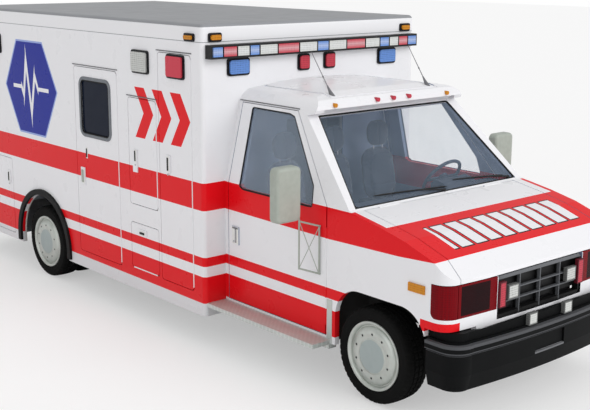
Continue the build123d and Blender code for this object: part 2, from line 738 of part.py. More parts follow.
half_tyre = tyre_width / 2
tyre_section = [
    (-half_tyre + 14, rim_radius), (-half_tyre, rim_radius + 34), (-half_tyre + 3, tyre_radius - 42),
    (-half_tyre + 26, tyre_radius - 8), (-half_tyre + 52, tyre_radius), (half_tyre - 52, tyre_radius),
    (half_tyre - 26, tyre_radius - 8), (half_tyre - 3, tyre_radius - 42), (half_tyre, rim_radius + 34),
    (half_tyre - 14, rim_radius),
]
front_rim_section = [
    # inner barrel, the dished disc and the hub
    (-half_tyre + 16, rim_radius), (half_tyre - 14, rim_radius), (half_tyre - 8, rim_radius + 8),
    (half_tyre - 2, rim_radius + 8), (half_tyre - 4, rim_radius - 12), (half_tyre - 24, rim_radius - 40),
    (half_tyre - 18, 190), (half_tyre - 6, 128), (half_tyre - 6, 96), (half_tyre - 2, 90), (half_tyre - 2, 0),
    (-10, 0), (-10, 96), (half_tyre - 46, 100),
    (half_tyre - 44, 190), (half_tyre - 60, rim_radius - 20), (-half_tyre + 16, rim_radius - 16),
]
with BuildPart() as front_rim:
    add(revolved(front_rim_section, front_wheel_x, front_axle_y))
    with Locations((-front_wheel_x + 100, front_axle_y, tyre_radius)):
        with Locations(Rotation(0, 90, 0)):
            Cylinder(spindle_radius + slip, 310, mode=Mode.SUBTRACT)

# Rear twins: two tyres and two rims that turn as one
inner_x = twin_outer_x - twin_spacing
hub_bore = stub_radius + slip
outer_rim_section = [
    (-half_tyre + 16, rim_radius), (half_tyre - 14, rim_radius), (half_tyre - 8, rim_radius + 8),
    (half_tyre - 2, rim_radius + 8), (half_tyre - 4, rim_radius - 12), (half_tyre - 30, rim_radius - 36),
    (half_tyre - 100, 150), (half_tyre - 100, 108), (half_tyre - 52, 96), (half_tyre - 20, 84),
    (half_tyre - 20, 0), (half_tyre - 60, 0), (half_tyre - 60, hub_bore), (-half_tyre - 60, hub_bore),
    (-half_tyre - 60, 96), (half_tyre - 130, 100), (half_tyre - 130, 150), (half_tyre - 60, rim_radius - 18),
    (-half_tyre + 16, rim_radius - 16),
]
inner_rim_section = [
    (-half_tyre + 14, rim_radius), (half_tyre - 16, rim_radius), (half_tyre - 16, rim_radius - 16),
    (-20, rim_radius - 16), (40, 150), (half_tyre - 8, 104), (half_tyre - 8, hub_bore), (-20, hub_bore), (-20, 92),
    (10, 150), (-50, rim_radius - 16), (-half_tyre + 14, rim_radius - 16),
]
with BuildPart() as rear_rims:
    add(revolved(outer_rim_section, twin_outer_x, rear_axle_y))
    add(revolved(inner_rim_section, inner_x, rear_axle_y))
with BuildPart() as rear_tyres:
    for middle in (twin_outer_x, inner_x):
        add(revolved(tyre_section, middle, rear_axle_y))
front_tyre = revolved(tyre_section, front_wheel_x, front_axle_y)

for side, name in ((-1, "right"), (1, "left")):
    pieces = (
        (cab_door.part, "cab_door_"),
        (cab_door_glass, "cab_glass_"),
        (cab_mirror.part, "mirror_"),
        (knuckle.part, "knuckle_"),
        (front_tyre, "front_tyre_"),
        (front_rim.part, "front_rim_"),
        (rear_tyres.part, "rear_tyres_"),
        (rear_rims.part, "rear_rims_"),
    )
    for piece, label in pieces:
        save(piece if side < 0 else mirror(piece, about=Plane.YZ), label + name)

# Load box: one outer form with rounded corner posts, split into its panels
with BuildPart() as box_outer:
    span_box((-box_half_width, box_half_width), (box_start, box_rear), (box_bottom, box_top))
    fillet(box_outer.edges().filter_by(Axis.Z) + box_outer.edges().group_by(Axis.Z)[-1], box_corner)
inner_half = box_half_width - box_wall
front_inside = box_start + box_wall
rear_inside = box_rear - box_wall
roof_inside = box_top - box_wall

# Doors of the right-hand side: name, front, rear, bottom, top, which end is hinged
entry_front = 3008.0
entry_rear = 3762.0
side_doors = [
    ("locker_front", 1880.0, 2361.0, 455.0, 2428.0, "front"),
    ("locker_upper", 2394.0, 2840.0, 1052.0, 2008.0, "front"),
    ("locker_lower", 2394.0, 2840.0, 462.0, 890.0, "bottom"),
    ("entry_door", entry_front, entry_rear, 430.0, 2210.0, "front"),
    ("locker_rear", wheelbase + 643, box_rear - 60, 330.0, 1139.0, "rear"),
]
left_doors = ("locker_front", "locker_rear")
door_handles = {
    # middle behind the front axle, height, width along the door, height of the plate
    "locker_front": (2222.0, 1495.0, 64.0, 150.0),
    "locker_upper": (2732.0, 1448.0, 70.0, 196.0),
    "locker_lower": (2646.0, 809.0, 130.0, 60.0),
    "entry_door": (3645.0, 1178.0, 72.0, 166.0),
    "locker_rear": (wheelbase + 719, 937.0, 70.0, 130.0),
}
door_corner = 34.0
entry_window = (3150.0, 3640.0, 1590.0, 2090.0)
window_corner = 52.0


def wall_opening(front, rear, bottom, top, corner, depth):
    # block with rounded corners through the right wall, from just outside it to a depth inside
    with BuildPart() as block:
        with BuildSketch(right_face.offset(-60)):
            with Locations(((front + rear) / 2, (bottom + top) / 2)):
                RectangleRounded(rear - front, top - bottom, corner)
        extrude(amount=60 + depth)
    return block.part


def wheel_arch(radius, depth):
    # half-round arch over the rear wheels, open at the bottom, from outside the wall to a depth inside
    with BuildPart() as block:
        with BuildSketch(right_face.offset(-60)):
            with Locations((wheelbase, tyre_radius)):
                Circle(radius)
            with Locations((wheelbase, tyre_radius / 2)):
                Rectangle(2 * radius, tyre_radius)
        extrude(amount=60 + depth)
    return block.part


def hinge_for(front, rear, bottom, top, end):
    # hinge plane and hinge length of a door in the right-hand wall
    half = hinge_seam / 2
    middle_y = back((front + rear) / 2)
    middle_z = (bottom + top) / 2
    if end == "bottom":
        plane = hinge_plane((-box_half_width, middle_y, bottom + half), (0, 0, -1), (1, 0, 0))
        return plane, rear - front - 2 * door_corner
    edge = front + half if end == "front" else rear - half
    jamb = (0, -1, 0) if end == "front" else (0, 1, 0)
    return hinge_plane((-box_half_width, back(edge), middle_z), jamb, (1, 0, 0)), top - bottom - 2 * door_corner


with BuildPart() as wall_blank:
    add(box_outer.part)
    span_box((-box_half_width - 5, -inner_half), (front_inside, rear_inside), (box_bottom - 5, roof_split),
             mode=Mode.INTERSECT)
    add(wheel_arch(arch_radius, 100), mode=Mode.SUBTRACT)
with BuildPart() as box_wall_right:
    add(wall_blank.part)
    for name, front, rear, bottom, top, end in side_doors:
        add(wall_opening(front, rear, bottom, top, door_corner, 100), mode=Mode.SUBTRACT)
    for name, front, rear, bottom, top, end in side_doors:
        add(knuckles(*hinge_for(front, rear, bottom, top, end), False))
with BuildPart() as box_wall_left:
    add(wall_blank.part)
    for name, front, rear, bottom, top, end in side_doors:
        if name in left_doors:
            add(wall_opening(front, rear, bottom, top, door_corner, 100), mode=Mode.SUBTRACT)
            add(knuckles(*hinge_for(front, rear, bottom, top, end), False))
save(box_wall_right.part, "box_wall_right")
save(mirror(box_wall_left.part, about=Plane.YZ), "box_wall_left")

locker_lamp = (2090.0, 2321.0, 252.0, 200.0)
bezel_depth = 14.0
lens_depth = 30.0
lens_inset = 16.0


def add_lamps(plane, rows):
    # bezels and raised lenses standing on a plane whose normal points into the wall;
    # a row holds the place along the plane, the height, and the lamp's width and height
    for inset, depth in ((0.0, bezel_depth), (lens_inset, lens_depth)):
        with BuildSketch(plane) as outlines:
            for x, z, width, height in rows:
                with Locations((x, z)):
                    RectangleRounded(width - 2 * inset, height - 2 * inset,
                                     min(24.0, height / 4) - inset / 3)
        extrude(outlines.sketch, amount=-depth)


for name, front, rear, bottom, top, end in side_doors:
    gaps = [hinge_seam if end == edge else seam for edge in ("front", "rear", "bottom")]
    low_y = front + gaps[0]
    high_y = rear - gaps[1]
    low_z = bottom + gaps[2]
    with BuildPart() as side_door:
        add(wall_opening(low_y, high_y, low_z, top - seam, door_corner - seam, box_wall))
        span_box((-box_half_width, 0), (front, rear), (bottom, top), mode=Mode.INTERSECT)
        add(knuckles(*hinge_for(front, rear, bottom, top, end), True))
        if name == "entry_door":
            add(wall_opening(*entry_window, window_corner, 100), mode=Mode.SUBTRACT)
        if name == "locker_front":
            add_lamps(right_face, [locker_lamp])
        handle_y, handle_z, width, height = door_handles[name]
        with Locations((-box_half_width - 4, back(handle_y), handle_z)):
            Box(12, width, height)
    save(side_door.part, name)
    if name in left_doors:
        save(mirror(side_door.part, about=Plane.YZ), name + "_left")
with BuildPart() as entry_glass:
    add(wall_opening(*entry_window, window_corner, 20))
    span_box((-box_half_width + 10, 0), entry_window[:2], entry_window[2:], mode=Mode.INTERSECT)
save(entry_glass.part, "entry_glass")

# Locker liners behind the doors, from one sheet each
with BuildPart() as liners:
    for name, front, rear, bottom, top, end in side_doors:
        if name == "entry_door":
            continue
        span_box((-inner_half, -inner_half + locker_depth), (front - liner_sheet, rear + liner_sheet),
                 (bottom - liner_sheet, top + liner_sheet))
    for name, front, rear, bottom, top, end in side_doors:
        if name == "entry_door":
            continue
        span_box((-inner_half - 1, -inner_half + locker_depth - liner_sheet), (front, rear), (bottom, top),
                 mode=Mode.SUBTRACT)
    for name, front, rear, bottom, top, end in side_doors:
        if name in left_doors:
            low = (inner_half - locker_depth, inner_half)
            span_box(low, (front - liner_sheet, rear + liner_sheet), (bottom - liner_sheet, top + liner_sheet))
            span_box((low[0] + liner_sheet, inner_half + 1), (front, rear), (bottom, top), mode=Mode.SUBTRACT)
save(liners.part, "locker_liners")

# Floor of the load box: cut out round the lockers and the step well, with a house over each rear wheel
house_inner = 690.0
house_sheet = 14.0
step_well = (entry_front, entry_rear)
step_tread = 420.0
step_inner = inner_half - 314
with BuildPart() as box_floor:
    span_box((-inner_half, inner_half), (front_inside, rear_inside), (floor_bottom, floor_top))
    for sign in (-1, 1):
        wall_x = sorted((sign * house_inner, sign * inner_half))
        with BuildSketch(side_plane.offset(wall_x[0])):
            with Locations((wheelbase, tyre_radius)):
                Circle(arch_radius + house_sheet)
        extrude(amount=wall_x[1] - wall_x[0])
    span_box((-inner_half, inner_half), (box_start, box_rear), (-floor_bottom, floor_bottom), mode=Mode.SUBTRACT)
    for sign in (-1, 1):
        room_x = sorted((sign * (house_inner + house_sheet), sign * (inner_half + 5)))
        with BuildSketch(side_plane.offset(room_x[0])):
            with Locations((wheelbase, tyre_radius)):
                Circle(arch_radius)
        extrude(amount=room_x[1] - room_x[0], mode=Mode.SUBTRACT)
    for name, front, rear, bottom, top, end in side_doors:
        for sign in (-1, 1):
            if name == "entry_door" or (sign > 0 and name not in left_doors):
                continue
            edge = sorted((sign * (inner_half - locker_depth), sign * (inner_half + 5)))
            span_box(edge, (front - liner_sheet, rear + liner_sheet), (0, box_top), mode=Mode.SUBTRACT)
    well_x = (-inner_half, -step_inner)
    span_box(well_x, step_well, (step_tread - 14, floor_top))
    span_box((-inner_half - 5, -step_inner - 14), (step_well[0] + 14, step_well[1] - 14), (step_tread, 900),
             mode=Mode.SUBTRACT)
save(box_floor.part, "box_floor")

# Roof, front wall with the way through to the cab, and rear wall with its doorway
pass_half = 330.0
pass_top = 1850.0
rear_half = 622.0
rear_bottom = 446.0
rear_top = 2150.0
with BuildPart() as box_roof:
    add(box_outer.part)
    span_box((-box_half_width, box_half_width), (box_start, box_rear), (0, roof_split), mode=Mode.SUBTRACT)
    span_box((-inner_half, inner_half), (front_inside, rear_inside), (roof_split - 10, roof_inside),
             mode=Mode.SUBTRACT)
with BuildPart() as box_front_wall:
    add(box_outer.part)
    span_box((-box_half_width, box_half_width), (box_start - 5, front_inside), (0, roof_split),
             mode=Mode.INTERSECT)
    span_box((-pass_half, pass_half), (box_start - 5, front_inside + 5), (floor_top, pass_top),
             mode=Mode.SUBTRACT)
    span_box((-700, 700), (box_start - 5, front_inside + 5), (0, floor_bottom - 60), mode=Mode.SUBTRACT)
rear_hinge = hinge_plane((-rear_half + hinge_seam / 2, back(box_rear), (rear_bottom + rear_top) / 2),
                         (-1, 0, 0), (0, -1, 0))
rear_hinge_length = rear_top - rear_bottom - 2 * door_corner
rear_pin = knuckles(rear_hinge, rear_hinge_length, False)
with BuildPart() as box_rear_wall:
    add(box_outer.part)
    span_box((-box_half_width, box_half_width), (rear_inside, box_rear + 5), (box_bottom - 5, roof_split),
             mode=Mode.INTERSECT)
    with BuildSketch(rear_face.offset(-60)):
        with Locations((0, (rear_bottom + rear_top) / 2)):
            RectangleRounded(2 * rear_half, rear_top - rear_bottom, door_corner)
    extrude(amount=200, mode=Mode.SUBTRACT)
    add(rear_pin)
    add(mirror(rear_pin, about=Plane.YZ))
save(box_roof.part, "box_roof")
save(box_front_wall.part, "box_front_wall")
save(box_rear_wall.part, "box_rear_wall")

# Rear doors and their windows
rear_window = (-525.0, -100.0, 1560.0, 2040.0)
with BuildPart() as rear_door:
    with BuildSketch(rear_face):
        low_x = -rear_half + hinge_seam
        high_x = -seam / 2
        with Locations(((low_x + high_x) / 2, (rear_bottom + rear_top) / 2)):
            Rectangle(high_x - low_x, rear_top - rear_bottom - 2 * seam)
        with Locations(((rear_window[0] + rear_window[1]) / 2, (rear_window[2] + rear_window[3]) / 2)):
            RectangleRounded(rear_window[1] - rear_window[0], rear_window[3] - rear_window[2], window_corner,
                             mode=Mode.SUBTRACT)
    extrude(amount=box_wall)
    fillet(rear_door.edges().filter_by(Axis.Y).group_by(Axis.X)[0], door_corner - seam)
    add(knuckles(rear_hinge, rear_hinge_length, True))
    span_box((-130, -60), (box_rear - 2, box_rear + 14), (1180, 1320))
with BuildPart() as rear_glass:
    with BuildSketch(rear_face.offset(14)):
        with Locations(((rear_window[0] + rear_window[1]) / 2, (rear_window[2] + rear_window[3]) / 2)):
            RectangleRounded(rear_window[1] - rear_window[0], rear_window[3] - rear_window[2], window_corner)
    extrude(amount=6)
for side, name in ((-1, "right"), (1, "left")):
    for piece, label in ((rear_door.part, "rear_door_"), (rear_glass.part, "rear_glass_")):
        save(piece if side < 0 else mirror(piece, about=Plane.YZ), label + name)

# Inside the load box: a bench along the right, cabinets along the left
bench_edge = 700.0
cabinet_front = 2450.0
with BuildPart() as bench:
    span_box((-inner_half, -bench_edge), (wheelbase - 627, rear_inside), (1150, 1230))
    span_box((-bench_edge - 20, -bench_edge), (wheelbase - 627, rear_inside), (floor_top, 1150))
    with BuildSketch(side_plane.offset(-inner_half)):
        with Locations((wheelbase, tyre_radius)):
            Circle(arch_radius + house_sheet)
    extrude(amount=inner_half, mode=Mode.SUBTRACT)
with BuildPart() as cabinets:
    add(bench.part)
    span_box((inner_half - 394, inner_half), (cabinet_front, wheelbase + 573), (floor_top, 1240))
    span_box((inner_half - 354, inner_half), (cabinet_front, rear_inside), (1760, 2400))
    with BuildSketch(side_plane):
        with Locations((wheelbase, tyre_radius)):
            Circle(arch_radius + house_sheet)
    extrude(amount=inner_half, mode=Mode.SUBTRACT)
save(cabinets.part, "cabinets")

# Running boards with their splash plates, and the rear step on its arms
board_outer = box_half_width - 23
board_top = 384.0
board_sheet = 34.0
with BuildPart() as steps:
    for sign in (-1, 1):
        span_box(sorted((sign * cab_half_width, sign * board_outer)), (420, box_start),
                 (board_top - board_sheet, board_top))
        span_box(sorted((sign * (cab_half_width - cab_wall), sign * (cab_half_width + 4))), (420, box_start),
                 (cab_bottom - 32, cab_bottom))
        span_box(sorted((sign * cab_half_width, sign * (cab_half_width + 4))), (420, door_front - 10),
                 (board_top - 1, 690))
        span_box(sorted((sign * cab_half_width, sign * (cab_half_width + 30))), (420, box_start),
                 (cab_bottom - 32, board_top - 1))
    span_box((34 - box_half_width, box_half_width - 34), (box_rear, box_rear + step_depth), (396, 440))
    for sign in (-1, 1):
        span_box(sorted((sign * rail_half_gap, sign * (rail_half_gap + rail_flange))),
                 (box_rear, box_rear + 180), (330, 396))
save(steps.part, "steps")

# Rubber flares round the rear arches
with BuildPart() as flare:
    add(wheel_arch(arch_radius + flare_width, 0))
    add(wheel_arch(arch_radius, 200), mode=Mode.SUBTRACT)
    span_box((-box_half_width - flare_depth, -box_half_width), (box_start, box_rear), (292, 2000),
             mode=Mode.INTERSECT)
with BuildPart() as arch_flares:
    add(flare.part)
    add(mirror(flare.part, about=Plane.YZ))
save(arch_flares.part, "arch_flares")

# Light bar across the front wall: a dark trough and a row of lenses
bar_half = box_half_width - 37
bar_z = (2407.0, 2516.0)
bar_depth = 78.0
lens_reach = bar_half - 14
lens_shares = [-1.0, -0.912, -0.791, -0.682, -0.593, -0.428, -0.226, -0.051, 0.062, 0.241, 0.437, 0.593, 0.695,
               0.798, 0.901, 1.0]
with BuildPart() as light_bar:
    span_box((-bar_half, bar_half), (box_start - bar_depth, box_start), bar_z)
    span_box((-bar_half + 12, bar_half - 12), (box_start - bar_depth - 5, box_start - bar_depth + 22),
             (bar_z[0] + 14, bar_z[1] - 14), mode=Mode.SUBTRACT)
save(light_bar.part, "light_bar")
with BuildPart() as bar_lenses:
    for low, high in zip(lens_shares, lens_shares[1:]):
        span_box((low * lens_reach + 5, high * lens_reach - 5), (box_start - bar_depth - 8, box_start - bar_depth + 22),
                 (bar_z[0] + 17, bar_z[1] - 17))
save(bar_lenses.part, "bar_lenses")

# Lamps on the outside: a bezel with a raised lens, one table for each wall
front_lamps = [
    # x, z, width, height
    (box_half_width - 363, 2328.0, 228.0, 144.0), (149.0, 2327.0, 132.0, 142.0),
    (box_half_width - 129, 2574.0, 130.0, 72.0),
]
side_lamps = [
    # middle behind the front axle, z, width, height
    (2614.0, 2324.0, 258.0, 200.0), (1888.0, 2571.0, 136.0, 64.0),
    (wheelbase + 876, 2324.0, 258.0, 200.0), (box_rear - 155, 2571.0, 136.0, 64.0),
    (box_rear - 295, 2321.0, 252.0, 200.0),
]
rear_lamps = [
    # x, z, width, height
    (box_half_width - 159, 2324.0, 230.0, 170.0), (box_half_width - 129, 2574.0, 130.0, 64.0),
    (930.0, 900.0, 200.0, 150.0), (930.0, 720.0, 200.0, 150.0), (930.0, 540.0, 200.0, 150.0),
    (150.0, 2324.0, 180.0, 120.0),
]
front_wall_face = Plane(origin=(0, back(box_start), 0), x_dir=(-1, 0, 0), z_dir=(0, 1, 0))
left_wall_face = Plane(origin=(box_half_width, front_axle_y, 0), x_dir=(0, -1, 0), z_dir=(-1, 0, 0))
header_lamps = [
    # x, distance behind the front axle, z
    (642.0, 806.0, 2089.0), (181.0, 806.0, 2098.0), (0.0, 806.0, 2098.0), (-181.0, 806.0, 2098.0),
    (-642.0, 806.0, 2089.0),
]
nose_lamps = [
    # x, z, width, height, front and back measured forward from the front axle
    (460.0, nose_height(0.279), 68.0, 186.0, nose_front + 6, nose_front - 24),
    (341.0, nose_height(0.282), 112.0, 104.0, nose_front + 6, nose_front - 24),
    (208.0, 699.0, 92.0, 88.0, nose_overhang - 20, nose_overhang - 52),
]
marker = ((-504.0, -353.0), (957.0, 1018.0))
with BuildPart() as lamps:
    for x, distance, z in header_lamps:
        with Locations((x, back(distance), z)):
            with Locations(Rotation(90, 0, 0)):
                Cylinder(17, 44)
    add(cab_outer, mode=Mode.SUBTRACT)
    add_lamps(front_wall_face, [(sign * row[0], *row[1:]) for row in front_lamps for sign in (-1, 1)])
    add_lamps(rear_face, [(sign * row[0], *row[1:]) for row in rear_lamps for sign in (-1, 1)])
    add_lamps(right_face, side_lamps)
    add_lamps(left_wall_face, [(-row[0], *row[1:]) for row in side_lamps])
    for x, z, width, height, front, rear in nose_lamps:
        for sign in (-1, 1):
            span_box((sign * x - width / 2, sign * x + width / 2), (-front, -rear),
                     (z - height / 2, z + height / 2))
    for sign in (-1, 1):
        span_box(sorted((sign * cab_half_width, sign * (cab_half_width + 12))), *marker)
save(lamps.part, "lamps")

# Antennas on the cab roof and wipers on the windshield
antenna_foot = (549.0, 924.0, 2122.0)
antenna_tip = (554.0, 1174.0, 2467.0)
wiper_pivots = (-560.0, 200.0)
with BuildPart() as cab_trim:
    for sign in (-1, 1):
        foot = (sign * antenna_foot[0], back(antenna_foot[1]), antenna_foot[2] + 20)
        tip = (sign * antenna_tip[0], back(antenna_tip[1]), antenna_tip[2])
        add(rod(foot, tip, 5))
        with Locations(foot):
            Cone(26, 9, 60)
    add(cab_outer, mode=Mode.SUBTRACT)
    with BuildSketch(windshield_plane.offset(-8)):
        for pivot in wiper_pivots:
            with Locations((pivot + 330, 105)):
                Rectangle(560, 16, rotation=8)
            with Locations((pivot + 130, 72)):
                Rectangle(320, 20, rotation=14)
    extrude(amount=14)
save(cab_trim.part, "cab_trim")
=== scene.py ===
import math
import bpy
import bmesh
from mathutils import Matrix, Vector


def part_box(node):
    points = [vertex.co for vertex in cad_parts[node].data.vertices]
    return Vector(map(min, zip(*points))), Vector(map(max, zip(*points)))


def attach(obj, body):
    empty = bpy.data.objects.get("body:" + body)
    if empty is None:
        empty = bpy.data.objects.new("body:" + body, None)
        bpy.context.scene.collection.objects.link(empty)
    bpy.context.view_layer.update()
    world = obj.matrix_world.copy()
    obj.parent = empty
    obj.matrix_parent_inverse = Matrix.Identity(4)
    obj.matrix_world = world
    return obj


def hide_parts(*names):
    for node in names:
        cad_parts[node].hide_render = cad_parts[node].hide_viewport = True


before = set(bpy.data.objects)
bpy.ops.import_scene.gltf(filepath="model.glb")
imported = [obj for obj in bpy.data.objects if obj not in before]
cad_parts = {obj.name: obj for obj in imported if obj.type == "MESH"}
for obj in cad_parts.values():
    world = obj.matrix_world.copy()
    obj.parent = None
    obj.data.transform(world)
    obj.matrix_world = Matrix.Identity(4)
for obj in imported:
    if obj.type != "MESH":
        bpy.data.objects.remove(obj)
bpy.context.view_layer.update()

frontAxle = -2.7175       # y of the front axle; "behind" is measured back from it
rearAxle = frontAxle + 4.477
axleHeight = 0.365
sides = (("right", -1), ("left", 1))
print("frame loaded")

# camera and studio
eye = {"place": (-6.2789, -7.9508, 3.1807), "azimuth": -40.949, "elevation": 12.815, "roll": 0.244,
       "lens": 65.9, "sensor": 36.0}
studio = {"floor": (0.97, 0.97, 0.97), "world": 0.6, "lift": 0.42}
suns = {
    # where each lamp stands from the object, its strength and how wide it looks in degrees
    "front lamp": ((0.35, -1.0, 0.55), 1.32, 40),
    "side lamp": ((-1.0, -0.25, 0.5), 0.32, 50),
    "top lamp": ((0.1, 0.3, 1.0), 0.25, 60),
}


def addCamera():
    turn, rise, roll = (math.radians(eye[key]) for key in ("azimuth", "elevation", "roll"))
    backward = Vector((math.sin(turn) * math.cos(rise), -math.cos(turn) * math.cos(rise), math.sin(rise)))
    flat = Vector((math.cos(turn), math.sin(turn), 0))
    over = backward.cross(flat)
    right = flat * math.cos(roll) + over * math.sin(roll)
    up = over * math.cos(roll) - flat * math.sin(roll)
    data = bpy.data.cameras.new("camera")
    data.lens = eye["lens"]
    data.sensor_width = eye["sensor"]
    data.clip_end = 200
    camera = bpy.data.objects.new("camera", data)
    bpy.context.collection.objects.link(camera)
    camera.matrix_world = Matrix.Translation(eye["place"]) @ Matrix((right, up, backward)).transposed().to_4x4()
    bpy.context.scene.camera = camera


def addSun(name, direction, power, width):
    data = bpy.data.lights.new(name, "SUN")
    data.energy = power
    data.angle = math.radians(width)
    lamp = bpy.data.objects.new(name, data)
    lamp.rotation_euler = Vector(direction).to_track_quat("Z", "Y").to_euler()
    bpy.context.collection.objects.link(lamp)


addCamera()
for name, row in suns.items():
    addSun(name, *row)
bpy.context.scene.view_settings.view_transform = "Standard"


class Wire:
    # one shader socket that can be written in sums
    def __init__(self, shade, socket):
        self.shade = shade
        self.socket = socket

    def __add__(self, other):
        return self.shade.sum("ADD", self, other)

    def __radd__(self, other):
        return self.shade.sum("ADD", other, self)

    def __sub__(self, other):
        return self.shade.sum("SUBTRACT", self, other)

    def __rsub__(self, other):
        return self.shade.sum("SUBTRACT", other, self)

    def __mul__(self, other):
        return self.shade.sum("MULTIPLY", self, other)

    def __rmul__(self, other):
        return self.shade.sum("MULTIPLY", other, self)

    def __truediv__(self, other):
        return self.shade.sum("DIVIDE", self, other)

    def __gt__(self, other):
        return self.shade.sum("GREATER_THAN", self, other)

    def __lt__(self, other):
        return self.shade.sum("LESS_THAN", self, other)

    def __abs__(self):
        return self.shade.sum("ABSOLUTE", self)

    def atMost(self, other):
        return self.shade.sum("MINIMUM", self, other)

    def atLeast(self, other):
        return self.shade.sum("MAXIMUM", self, other)

    def wave(self):
        return self.shade.sum("SINE", self)

    def between(self, low, high):
        return (self > low) * (self < high)


class Shade:
    # a material under construction
    def __init__(self, name):
        self.material = bpy.data.materials.new(name)
        self.material.use_nodes = True
        self.tree = self.material.node_tree
        self.tree.nodes.clear()

    def node(self, kind, settings=None, inputs=None, output=0):
        made = self.tree.nodes.new(kind)
        for key, value in (settings or {}).items():
            if key == "stops":
                ramp = made.color_ramp
                for at, (place, colour) in enumerate(value):
                    stop = ramp.elements[at] if at < len(ramp.elements) else ramp.elements.new(place)
                    stop.position = place
                    stop.color = colour
            else:
                setattr(made, key, value)
        for key, value in (inputs or {}).items():
            if isinstance(value, Wire):
                self.tree.links.new(value.socket, made.inputs[key])
            else:
                made.inputs[key].default_value = value
        return Wire(self, made.outputs[output])

    def sum(self, operation, *terms):
        return self.node("ShaderNodeMath", {"operation": operation}, dict(enumerate(terms)))

    def place(self):
        spot = self.node("ShaderNodeTexCoord", output="Object")
        self.facing = self.node("ShaderNodeTexCoord", output="Normal")
        split = self.node("ShaderNodeSeparateXYZ", inputs={0: spot}).socket.node
        self.spot = spot
        return tuple(Wire(self, split.outputs[at]) for at in range(3))

    def noise(self, scale, detail=3.0, stretch=None):
        spot = self.spot
        if stretch:
            spot = self.node("ShaderNodeVectorMath", {"operation": "MULTIPLY"}, {0: spot, 1: stretch})
        return self.node("ShaderNodeTexNoise", inputs={"Vector": spot, "Scale": scale, "Detail": detail})

    def inward(self, middle):
        # 1 where a face looks towards the middle of a hollow body
        away = self.node("ShaderNodeVectorMath", {"operation": "SUBTRACT"}, {0: self.spot, 1: middle})
        dot = self.node("ShaderNodeVectorMath", {"operation": "DOT_PRODUCT"}, {0: away, 1: self.facing},
                        output="Value")
        return dot < 0.0

    def mix(self, factor, first, second):
        settings = {"data_type": "RGBA"}
        return self.node("ShaderNodeMix", settings, {0: factor, 6: first, 7: second}, output=2)

    def bump(self, height, strength=0.2, distance=0.002):
        return self.node("ShaderNodeBump", inputs={"Height": height, "Strength": strength,
                                                   "Distance": distance})

    def finish(self, **inputs):
        names = {key: key.replace("_", " ") for key in inputs}
        surface = self.node("ShaderNodeBsdfPrincipled",
                            inputs={names[key]: value for key, value in inputs.items()})
        return self.output(surface)

    def output(self, surface):
        out = self.tree.nodes.new("ShaderNodeOutputMaterial")
        self.tree.links.new(surface.socket, out.inputs["Surface"])
        return self.material


def rgb(red, green, blue):
    # screen colour, 0 to 255, as the linear colour that a shader takes
    def linear(value):
        value = value / 255
        return value / 12.92 if value <= 0.04045 else ((value + 0.055) / 1.055) ** 2.4
    return (linear(red), linear(green), linear(blue), 1.0)


# the livery
livery = {
    "white": rgb(236, 236, 239), "red": rgb(228, 18, 28), "silver": rgb(222, 222, 225),
    "slate": rgb(136, 148, 174), "innerRed": rgb(176, 14, 24), "lining": rgb(214, 214, 210),
    "groove": rgb(150, 152, 156), "blue": rgb(18, 36, 148), "paleBlue": rgb(150, 168, 222), "dark": rgb(14, 14, 17),
    "bands": ((1.169, 1.400), (0.696, 0.774), (0.378, 0.607)),
    "emblem": (4.630, 1.918, 0.47), "chevrons": (1.900, 1.884, 0.22),
}
# lamp colours; glare is the colour of the painted highlight on the bar's lenses
lampColours = {
    "white": rgb(212, 214, 211), "red": rgb(204, 66, 82), "blue": rgb(106, 148, 218), "amber": rgb(214, 140, 36),
    "frame": rgb(18, 18, 24), "glare": rgb(236, 238, 240), "deep": rgb(122, 8, 18), "brown": rgb(44, 8, 12), "darkest": rgb(24, 6, 9),
}
pulse = ((-0.36, 0.0), (-0.15, 0.0), (-0.09, 0.13), (0.0, -0.25), (0.08, 0.27), (0.15, -0.08), (0.19, 0.0),
         (0.36, 0.0))


def paintDetail(shade, colour, z):
    # orange peel, faint dust towards the ground and a little wear in the gloss
    dust = (shade.noise(3.0, 5.0) * (0.55 - z)).atLeast(0.0) * 0.25
    dirty = shade.mix(dust, colour, rgb(150, 146, 138))
    peel = shade.noise(260.0, 2.0)
    return shade.finish(Base_Color=dirty, Roughness=shade.noise(5.0, 4.0) * 0.14 + 0.22,
                        Specular_IOR_Level=0.16, Normal=shade.bump(peel, 0.03, 0.0006))


